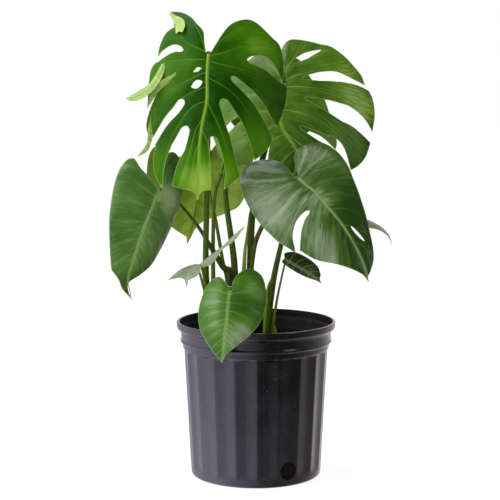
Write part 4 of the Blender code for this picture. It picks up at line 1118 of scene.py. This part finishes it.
shoots = {
    "shoot_left": {
        "base": (-68, -12), "crown": 11,
        "stalks": [
            {"plan": bigSplitLeaf, "tone": -0.12, "radius": (7, 4.6, 4.4, 4),
             "path": [(-70, -14, 206), (-78, -24, 315), (-75.5, -38, 452), (-73, -44, 600)]},
            {"plan": rolledLeaf, "tone": 0.1, "radius": (5, 3.2, 2.6),
             "path": [(-66, -6, 206), (-67.6, 4, 354), (-64.5, 4, 440)]},
            {"plan": firstLeaf, "tone": 0.3, "radius": (4, 2.2, 1.6),
             "path": [(-70, -18, 206), (-72, -44, 262), (-84, -60, 318)]},
            {"plan": secondLeaf, "tone": 0.3, "radius": (4, 2.2, 1.6),
             "path": [(-66, -18, 206), (-68, -40, 262), (-80, -44, 316)]},
        ],
    },
    "shoot_middle": {
        "base": (-37, -6), "crown": 12,
        "stalks": [
            {"plan": backTopLeaf, "tone": -0.15, "radius": (7, 5.6, 4.6, 4, 3.6, 3.2),
             "path": [(-36, 0, 206), (-33.7, 10, 324), (-48.6, 42, 447), (-37, 60, 515), (-12, 78, 570),
                      (20, 110, 606)]},
            {"plan": heartLeaf, "tone": -0.3, "radius": (6, 6, 5.8, 5.4, 4.2, 2.7, 2.4, 2.4, 2.4),
             "path": [(-37, -8, 206), (-39, -12, 314), (-51, -13, 330), (-72, -13, 364), (-92, -12, 396),
                      (-124, -2, 432)]},
            {"plan": backLeftLeaf, "tone": 0.05, "radius": (5, 3, 2.8, 2.8, 2.8),
             "path": [(-38, 0, 206), (-45, 8, 300), (-53, 14, 339), (-64, 30, 400), (-74.6, 52, 443.5)]},
            {"plan": rimLeaf, "tone": -0.15, "radius": (5, 3.4, 2.8),
             "path": [(-38, -12, 206), (-36, -40, 250), (-37, -82, 296)]},
        ],
    },
    "shoot_right": {
        "base": (-9, 12), "crown": 13,
        "stalks": [
            {"plan": backSplitLeaf, "tone": -0.25, "radius": (8, 6, 5, 4.8, 4.4),
             "path": [(-10, 12, 206), (-9, 12, 323), (-5, 22, 417), (12, 46, 502), (36, 62, 580)]},
            {"sheath": True, "tone": 0, "flat": 0.8, "radius": (5, 5, 4.2, 3.6, 2.4, 0.8),
             "path": [(-13, 8, 206), (-19, 8, 280), (-19, 6, 320), (-17.5, 6, 352), (-14, 8, 380),
                      (-10.5, 14, 412)]},
            {"plan": glossyRightLeaf, "tone": -0.05, "radius": (3, 3.8, 3.6, 3.4),
             "path": [(-9, 8, 300), (-2.6, 2, 359), (9, -18, 394), (34, -44, 440)]},
        ],
    },
    "shoot_outer": {
        "base": (18, -2), "crown": 9,
        "stalks": [
            {"plan": curledLeaf, "tone": -0.2, "radius": (6, 5.5, 4.2, 3.4, 3, 2.6),
             "path": [(18, -2, 206), (20, 0, 254), (28, 8, 310), (39, 16, 360), (48, 20, 396),
                      (69, 27, 426)]},
            {"sheath": True, "tone": 0, "flat": 0.8, "radius": (4, 3.6, 3, 1),
             "path": [(14, -3, 206), (15, -2, 250), (18, 2, 292), (25, 6, 312)]},
            {"plan": thirdLeaf, "tone": 0.1, "radius": (3, 1.8, 1.4),
             "path": [(24, -8, 206), (30.4, -10, 264), (41, -16, 320)]},
            {"sheath": True, "tone": 0, "flat": 0.6, "radius": (4, 3.4, 1),
             "path": [(22, -10, 206), (30, -18, 222), (29, -22, 240)]},
        ],
    },
}

for node, shoot in shoots.items():
    places, faces, slots, along, tone = [], [], [], [], []
    parts = []
    for stalk in shoot["stalks"]:
        sides = 10 if stalk["radius"][0] < stalkForm["thin"] else 18
        parts.append((sweepStalk(stalk, sides), 1 if stalk.get("sheath") else 0))
    parts.append((turnCrown(shoot["base"], shoot["crown"]), 1))
    for (partPlaces, partFaces, partAlong, partTone), slot in parts:
        faces += shifted(partFaces, len(places))
        slots += [slot] * len(partFaces)
        places += partPlaces
        along += partAlong
        tone += partTone
    fields = {"along": along, "tone": tone}
    piece = makePiece("stalks" + node.removeprefix("shoot"), places, faces, stalkFinishes, slots, fields)
    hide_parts(node)
    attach(piece, "root")
    print(f"{piece.name}: {len(faces)} faces")


# the nursery pot, in mm and degrees: hollow flutes all round that run out above the foot
pot = {
    "height": 244, "lip": 125, "base": 102.5, "wall": 2, "floor": 3,
    "flutes": 20, "fluteColumns": 24, "fluteDepth": 2.5, "fluteTurn": 0.8, "ridgeRound": 0.12,
    "fluteTop": 199, "fluteFoot": 9, "fluteFull": 20, "flutedFrom": 90,
    "drainRadius": 14, "drainHeight": 25, "drainAngle": 28.7, "drainCount": 2, "cutterLength": 40,
}


def wallRadius(z):
    return pot["base"] + (pot["lip"] - 12 - pot["base"]) * z / pot["fluteTop"]


def fluteInset(degrees, z):
    across = 2 * ((degrees - pot["fluteTurn"]) * pot["flutes"] / 360 % 1) - 1
    fromRidge = math.hypot(1 - abs(across), pot["ridgeRound"]) - pot["ridgeRound"]
    footEnd = ease((z - pot["fluteFoot"]) / (pot["fluteFull"] - pot["fluteFoot"]))
    topEnd = ease((pot["fluteTop"] + 2 - z) / 2)
    return pot["fluteDepth"] * (1 - (1 - fromRidge) ** 2) * float(footEnd * topEnd)


def potInset(degrees, z, r):  # none on the floor and under the base
    return fluteInset(degrees, z) if r > pot["flutedFrom"] else 0


def turnFluted(profile, inset, columns):  # columns for each flute, closer at its ridges
    width = 360 / pot["flutes"]
    within = [width * (1 - math.cos(math.pi * i / columns)) / 2 for i in range(columns)]
    turns = [pot["fluteTurn"] + flute * width + w for flute in range(pot["flutes"]) for w in within]
    places, rings = [], []
    for r, z in profile:
        if r == 0:
            rings.append([len(places)])
            places.append((0, 0, z))
            continue
        rings.append(list(range(len(places), len(places) + len(turns))))
        for degrees in turns:
            angle = math.radians(degrees - 90)
            radius = r - inset(degrees, z, r)
            places.append((radius * math.cos(angle), radius * math.sin(angle), z))
    faces = []
    for low, high in zip(rings, rings[1:]):
        for k in range(len(turns)):
            n = (k + 1) % len(turns)
            if len(low) == 1:
                faces.append([low[0], high[n], high[k]])
            elif len(high) == 1:
                faces.append([low[k], low[n], high[0]])
            else:
                faces.append([low[k], low[n], high[n], high[k]])
    return places, faces


def cutWith(piece, cutter):
    modifier = piece.modifiers.new("cut", "BOOLEAN")
    modifier.operation = "DIFFERENCE"
    modifier.solver = "EXACT"
    modifier.object = cutter
    graph = bpy.context.evaluated_depsgraph_get()
    mesh = bpy.data.meshes.new_from_object(piece.evaluated_get(graph))
    piece.modifiers.clear()
    piece.data = mesh
    bpy.data.objects.remove(cutter, do_unlink=True)


def mouldedPlastic(name, top, foot, specular, polish):
    # Black polypropylene, injection moulded: satin, with drag marks down the wall, and painted shade that
    # darkens it towards the top and greys it towards the foot
    finish, tree, shader, place = newFinish(name, Metallic=0, IOR=1.49, Specular_IOR_Level=specular)
    drag = addNode(tree, "Mapping", {"Vector": place, "Scale": (1, 1, 0.05)})
    marks = addNode(tree, "TexNoise", {"Vector": drag, "Scale": 1 / (5 * mm), "Detail": 5.0})
    broad = addNode(tree, "TexNoise", {"Vector": place, "Scale": 1 / (45 * mm), "Detail": 5.0})
    # painted shade: darker towards the top under the leaves, greyer towards the foot, with a random mottle
    low = addNode(tree, "MapRange", [addNode(tree, "SeparateXYZ", [place], out="Z"), 190 * mm, 20 * mm])
    mottle = addNode(tree, "MapRange", [broad, 0.3, 0.7, -0.25, 0.25])
    paintedShadeAndMottle = addNode(tree, "Math", [low, mottle], use_clamp=True)
    black = addNode(tree, "Mix", {0: paintedShadeAndMottle, 6: top, 7: foot}, **ofColours)
    # dust specks, real ones 0.5 mm, drawn as 2.4 mm to show
    dust = addNode(tree, "TexNoise", {"Vector": place, "Scale": 1 / (2.4 * mm), "Detail": 2.0})
    specks = addNode(tree, "MapRange", [dust, 0.66, 0.78, 0.0, 0.3])
    dusty = addNode(tree, "Mix", {0: specks, 6: black, 7: "#8d8a86"}, **ofColours)
    dull = addNode(tree, "MapRange", [addNode(tree, "Math", [marks, broad]), 0.7, 1.3, polish, polish + 0.14])
    bump = addNode(tree, "Bump", {"Height": marks, "Strength": 0.25, "Distance": 0.25 * mm})
    wave = addNode(tree, "Bump", {"Height": broad, "Strength": 0.3, "Distance": 1.2 * mm, "Normal": bump})
    wireShader(tree, shader, dusty, dull, wave)
    return finish


lip, base, height, bottom = (pot[key] for key in ("lip", "base", "height", "floor"))
rimInside = (lip - 4.3, 243.6)
potProfile = [(0, bottom), (60, bottom), (wallRadius(bottom) - 4, bottom), (wallRadius(6) - 2.8, 5)]
for z in (9, 12, 15, 18, 21, 30, 60, 90, 120, 150, 180, 197, 199):
    potProfile.append((wallRadius(z) - pot["wall"], z))
potProfile += [(lip - 12.2, 203), (lip - 12.0, 205), (lip - 11, 213), (lip - 10.4, 215), (lip - 8.6, 218),
               (lip - 7.6, 228), (lip - 6.6, 230.6), (lip - 4.8, 232.6), (lip - 4.6, 234), (lip - 4.6, 242.6),
               rimInside, (lip - 3.6, height), (lip - 1.6, height), (lip - 0.7, 243.6), (lip - 0.15, 242.8),
               (lip, 241.8), (lip, 236.2), (lip - 0.2, 235.2), (lip - 1.5, 233.2), (lip - 5.0, 230.4),
               (lip - 5.8, 229.6), (lip - 6.4, 228), (lip - 6.6, 226), (lip - 7.2, 217.6), (lip - 7.1, 216.6),
               (lip - 6.4, 215.8), (lip - 5.9, 215), (lip - 5.8, 213.6), (lip - 6.2, 212.4),
               (lip - 8.6, 210.9), (lip - 9.2, 210.2), (lip - 9.5, 207), (lip - 9.8, 203.4),
               (lip - 10.6, 202), (wallRadius(199) + 0.3, 201), (wallRadius(199), 199)]
potProfile += [(wallRadius(z), z) for z in (197, 180, 150, 120, 90, 60, 30, 21, 19, 17, 15, 13, 11, 9)]
potProfile += [(wallRadius(7) - 0.1, 6.5), (base, 4), (base - 0.4, 2.4), (base - 1.6, 0.9), (base - 4, 0),
               (60, 0), (0, 0)]
places, faces = turnFluted(potProfile, potInset, pot["fluteColumns"])
innerFaces = potProfile.index(rimInside) * pot["fluteColumns"] * pot["flutes"]
slots = [1 if i < innerFaces else 0 for i in range(len(faces))]
# each finish's first colour is the painted shade at the top, the second the greyer foot
potFinishes = [mouldedPlastic("mouldedBlackPlastic", "#050505", "#26252a", 0.5, 0.14),
               mouldedPlastic("innerBlackPlastic", "#040404", "#060606", 0.12, 0.45)]
potPiece = makePiece("pot_shell", places, faces, potFinishes, slots, crease=40)
for i in range(pot["drainCount"]):
    angle = math.radians(pot["drainAngle"] + i * 360 / pot["drainCount"] - 90)
    bpy.ops.mesh.primitive_cylinder_add(vertices=64, radius=pot["drainRadius"] * mm,
                                        depth=pot["cutterLength"] * mm)
    cutter = bpy.context.object
    cutter.rotation_euler = (math.pi / 2, 0, angle + math.pi / 2)
    cutter.location = (base * mm * math.cos(angle), base * mm * math.sin(angle), pot["drainHeight"] * mm)
    bpy.context.view_layer.update()
    cutWith(potPiece, cutter)
potPiece.data.set_sharp_from_angle(angle=math.radians(40))
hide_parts("pot")
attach(potPiece, "root")
print(f"pot: {len(potPiece.data.polygons)} faces")


# the potting mix, in mm: a low mound, and grains strewn over it that are crumb, bark and perlite
soil = {
    "top": 197, "mound": 4, "moundReach": 110, "foot": 3.4, "gap": 0.5, "clods": (2.2, 14), "lumps": (1.1, 5),
    "shapedTo": 109, "shapedFade": 6, "edgeIn": 0.5, "edgeRough": 0.4, "edgeLump": 7,
    "strewn": 104, "limit": 106,
    "grains": [{"count": 760, "size": (1.2, 4.2), "squash": 0.75},
               {"count": 70, "size": (3, 6.5), "squash": 0.45},
               {"count": 90, "size": (1.0, 2.4), "squash": 0.85}],
}


def pottingMix(name, dark, light, grain):
    # Peat and composted bark: matt, broken and damp, with pale grit, and painted shade that darkens it low
    # down in the pot
    finish, tree, shader, place = newFinish(name, Metallic=0, Specular_IOR_Level=0.25)
    clods = addNode(tree, "TexNoise", {"Vector": place, "Scale": 1 / (grain * mm), "Detail": 8.0,
                                       "Roughness": 0.7})
    dry = addNode(tree, "Mix", {0: clods, 6: dark, 7: light}, **ofColours)
    height = addNode(tree, "SeparateXYZ", [place], out="Z")
    # painted shade: the mix turns near black low down, in the dark inside the pot that shows through the
    # drain holes
    paintedShadeLow = addNode(tree, "MapRange", [height, 190 * mm, 60 * mm, 0, 0.85])
    colour = addNode(tree, "Mix", {0: paintedShadeLow, 6: dry, 7: "#030201"}, **ofColours)
    grit = addNode(tree, "TexVoronoi", {"Vector": place, "Scale": 1 / (2.2 * mm)})
    damp = addNode(tree, "MapRange", [grit, 0.1, 0.9, 0.7, 1.0])
    bump = addNode(tree, "Bump", {"Height": clods, "Strength": 0.9, "Distance": 1.2 * mm})
    wireShader(tree, shader, colour, damp, bump)
    return finish


def moundHeight(r):
    return soil["top"] + soil["mound"] * (1 - (r / soil["moundReach"]) ** 2)


def soilInset(degrees, z, r):
    if r <= pot["flutedFrom"]:
        return 0
    angle, lump = math.radians(degrees), soil["edgeLump"]
    rough = noise.noise(Vector((r * math.cos(angle) / lump, r * math.sin(angle) / lump, z / lump)))
    fluted = fluteInset(degrees, z) if z < soil["top"] - 0.5 else 0
    return fluted + (soil["edgeIn"] + soil["edgeRough"] * rough)


inner = pot["wall"] + soil["gap"]
soilProfile = [(0, soil["foot"]), (60, soil["foot"]), (wallRadius(3) - inner - 4, soil["foot"])]
for z in (9, 14, 20, 25, 34, 45, 80, 120, 160, 190, 195):
    soilProfile.append((wallRadius(z) - inner - (1 if z < 20 else 0), z))
soilProfile += [(r, moundHeight(r)) for r in range(108, -1, -3)]
places, faces = turnFluted(soilProfile, soilInset, 12)
faces = [face[::-1] for face in faces]
shaped = []
for x, y, z in places:
    if z > soil["top"] - 1:
        fade = min(1, max(0, (soil["shapedTo"] - math.hypot(x, y)) / soil["shapedFade"]))
        for rise, size, seed in ((*soil["clods"], 2), (*soil["lumps"], 8)):
            z += fade * rise * noise.noise(Vector((x / size, y / size, seed)))
    shaped.append((x, y, z))
places, slots = shaped, [0] * len(faces)


def addLump(x, y, z, size, squash, slot):
    bm = bmesh.new()
    bmesh.ops.create_icosphere(bm, subdivisions=1 if size < 3 else 2, radius=size)
    seed = random.uniform(0, 90)
    turn = random.uniform(0, math.pi)
    first = len(places)
    for vertex in bm.verts:
        v = vertex.co * (1 + 0.45 * noise.noise(vertex.co / size * 1.7 + Vector((seed, 0, 0))))
        px = v.x * math.cos(turn) - v.y * squash * math.sin(turn)
        py = v.x * math.sin(turn) + v.y * squash * math.cos(turn)
        places.append((x + px, y + py, z + v.z * squash))
    for face in bm.faces:
        faces.append([first + v.index for v in face.verts])
        slots.append(slot)
    bm.free()


crowns = [shoot["base"] + (shoot["crown"],) for shoot in shoots.values()]
for slot, grain in enumerate(soil["grains"]):
    small, large = grain["size"]
    made = 0
    while made < grain["count"]:
        r, a = soil["strewn"] * math.sqrt(random.random()), random.uniform(0, 2 * math.pi)
        x, y = r * math.cos(a), r * math.sin(a)
        size = small + (large - small) * random.random() ** 2
        onCrown = any(math.hypot(x - cx, y - cy) < cr + size + 1 for cx, cy, cr in crowns)
        if onCrown or r + size > soil["limit"]:
            continue
        addLump(x, y, moundHeight(r) + size * grain["squash"] * 0.25, size, grain["squash"], slot)
        made += 1
soilFinishes = [pottingMix("peatAndCompost", "#1b120b", "#4a3423", 6),
                pottingMix("compostedBark", "#2a1a10", "#6b4a2e", 9),
                pottingMix("perlite", "#b9b2a4", "#e9e6dd", 3)]
soilPiece = makePiece("potting_mix", places, faces, soilFinishes, slots, crease=60)
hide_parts("soil")
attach(soilPiece, "root")
print(f"potting mix: {len(faces)} faces")


def paleFloor(name):
    # Matt white studio floor, so bright that it meets the white room without an edge
    finish, tree, shader, place = newFinish(name, Roughness=0.9, Specular_IOR_Level=0.1,
                                            Emission_Color=(1, 1, 1, 1), Emission_Strength=0.9)
    faint = addNode(tree, "TexNoise", {"Vector": place, "Scale": 3.0, "Detail": 3.0})
    white = addNode(tree, "Mix", {0: faint, 6: "#6e6e6e", 7: "#767676"}, **ofColours)
    tree.links.new(white, shader.inputs["Base Color"])
    return finish


bpy.ops.mesh.primitive_circle_add(vertices=96, radius=40, fill_type="NGON")
floor = bpy.context.object
floor.name = "studio_floor"
floor.location = (0, 0, -0.0006)
floor.data.materials.append(paleFloor("paleFloor"))
floor.visible_glossy = False
floor.visible_diffuse = False

# White room: a bright cool wall on the left, a warmer one on the right and back, and a dim front and ceiling
world = bpy.data.worlds.new("studio")
scene.world = world
world.use_nodes = True
tree = world.node_tree
heading = addNode(tree, "SeparateXYZ", [addNode(tree, "TexCoord", out="Generated")]).node.outputs
front = addNode(tree, "Math", [heading["Y"], -1.0], **times)
turn = addNode(tree, "Math", [heading["X"], front], operation="ARCTAN2")
leftSide = addNode(tree, "MapRange", [turn, -1.3, 0.3, 2.3, 0.0])
leftBack = addNode(tree, "MapRange", [turn, -2.6, -1.4, 0.3, 1.0])
leftWall = addNode(tree, "Math", [leftSide, leftBack], **times)
rightWall = addNode(tree, "MapRange", [turn, 0.8, 2.8, 0.0, 0.9], **smoothly)
walls = addNode(tree, "Math", [leftWall, rightWall])
wallTop = addNode(tree, "MapRange", [heading["Z"], 0.4, 0.75, 1.0, 0.1], **smoothly)
glow = addNode(tree, "Math", [addNode(tree, "Math", [walls, wallTop], **times), 0.16])
seen = addNode(tree, "LightPath", out="Is Camera Ray")
strength = addNode(tree, "Mix", {0: seen, 2: glow, 3: 1.0})
cool = addNode(tree, "MapRange", [turn, -0.6, 0.6])
tint = addNode(tree, "Mix", {0: cool, 6: (0.92, 0.91, 1.12, 1), 7: (1.05, 0.98, 0.99, 1)}, **ofColours)
paper = addNode(tree, "Mix", {0: seen, 6: tint, 7: (1, 1, 1, 1)}, **ofColours)
tree.links.new(strength, tree.nodes["Background"].inputs["Strength"])
tree.links.new(paper, tree.nodes["Background"].inputs["Color"])

lights = {
    "overheadSoftbox": {"place": (-1.2, 0.2, 2.6), "aim": (0, 0, 0.45), "size": (2.2, 1.6), "watts": 72},
    "leftSoftbox": {"place": (-1.7, -1.5, 1.7), "aim": (0, 0, 0.45), "size": (0.9, 0.9), "watts": 12},
    "rightSoftbox": {"place": (1.8, -1.2, 1.5), "aim": (0, 0, 0.45), "size": (0.6, 0.9), "watts": 6},
    "frontFill": {"place": (0.3, -3.4, 0.75), "aim": (0, 0, 0.5), "size": (1.6, 0.6), "watts": 34,
                  "sheen": False},
}
for name, light in lights.items():
    data = bpy.data.lights.new(name, "AREA")
    data.shape = "RECTANGLE"
    data.size, data.size_y = light["size"]
    data.energy = light["watts"]
    lamp = bpy.data.objects.new(name, data)
    lamp.location = light["place"]
    lamp.visible_glossy = light.get("sheen", True)
    lamp.rotation_euler = (Vector(light["aim"]) - Vector(light["place"])).to_track_quat("-Z", "Y").to_euler()
    scene.collection.objects.link(lamp)

# eye level a little below the top of the plant, looking slightly down
camera = bpy.data.objects.new("camera", bpy.data.cameras.new("camera"))
camera.location = (-0.0095, -2.3, 0.627)
camera.rotation_euler = (math.radians(90 - 6.73), 0, 0)
camera.data.lens = 106.4
camera.data.sensor_width = 36
scene.collection.objects.link(camera)
scene.camera = camera
scene.view_settings.view_transform = "Standard"
print("studio ready")
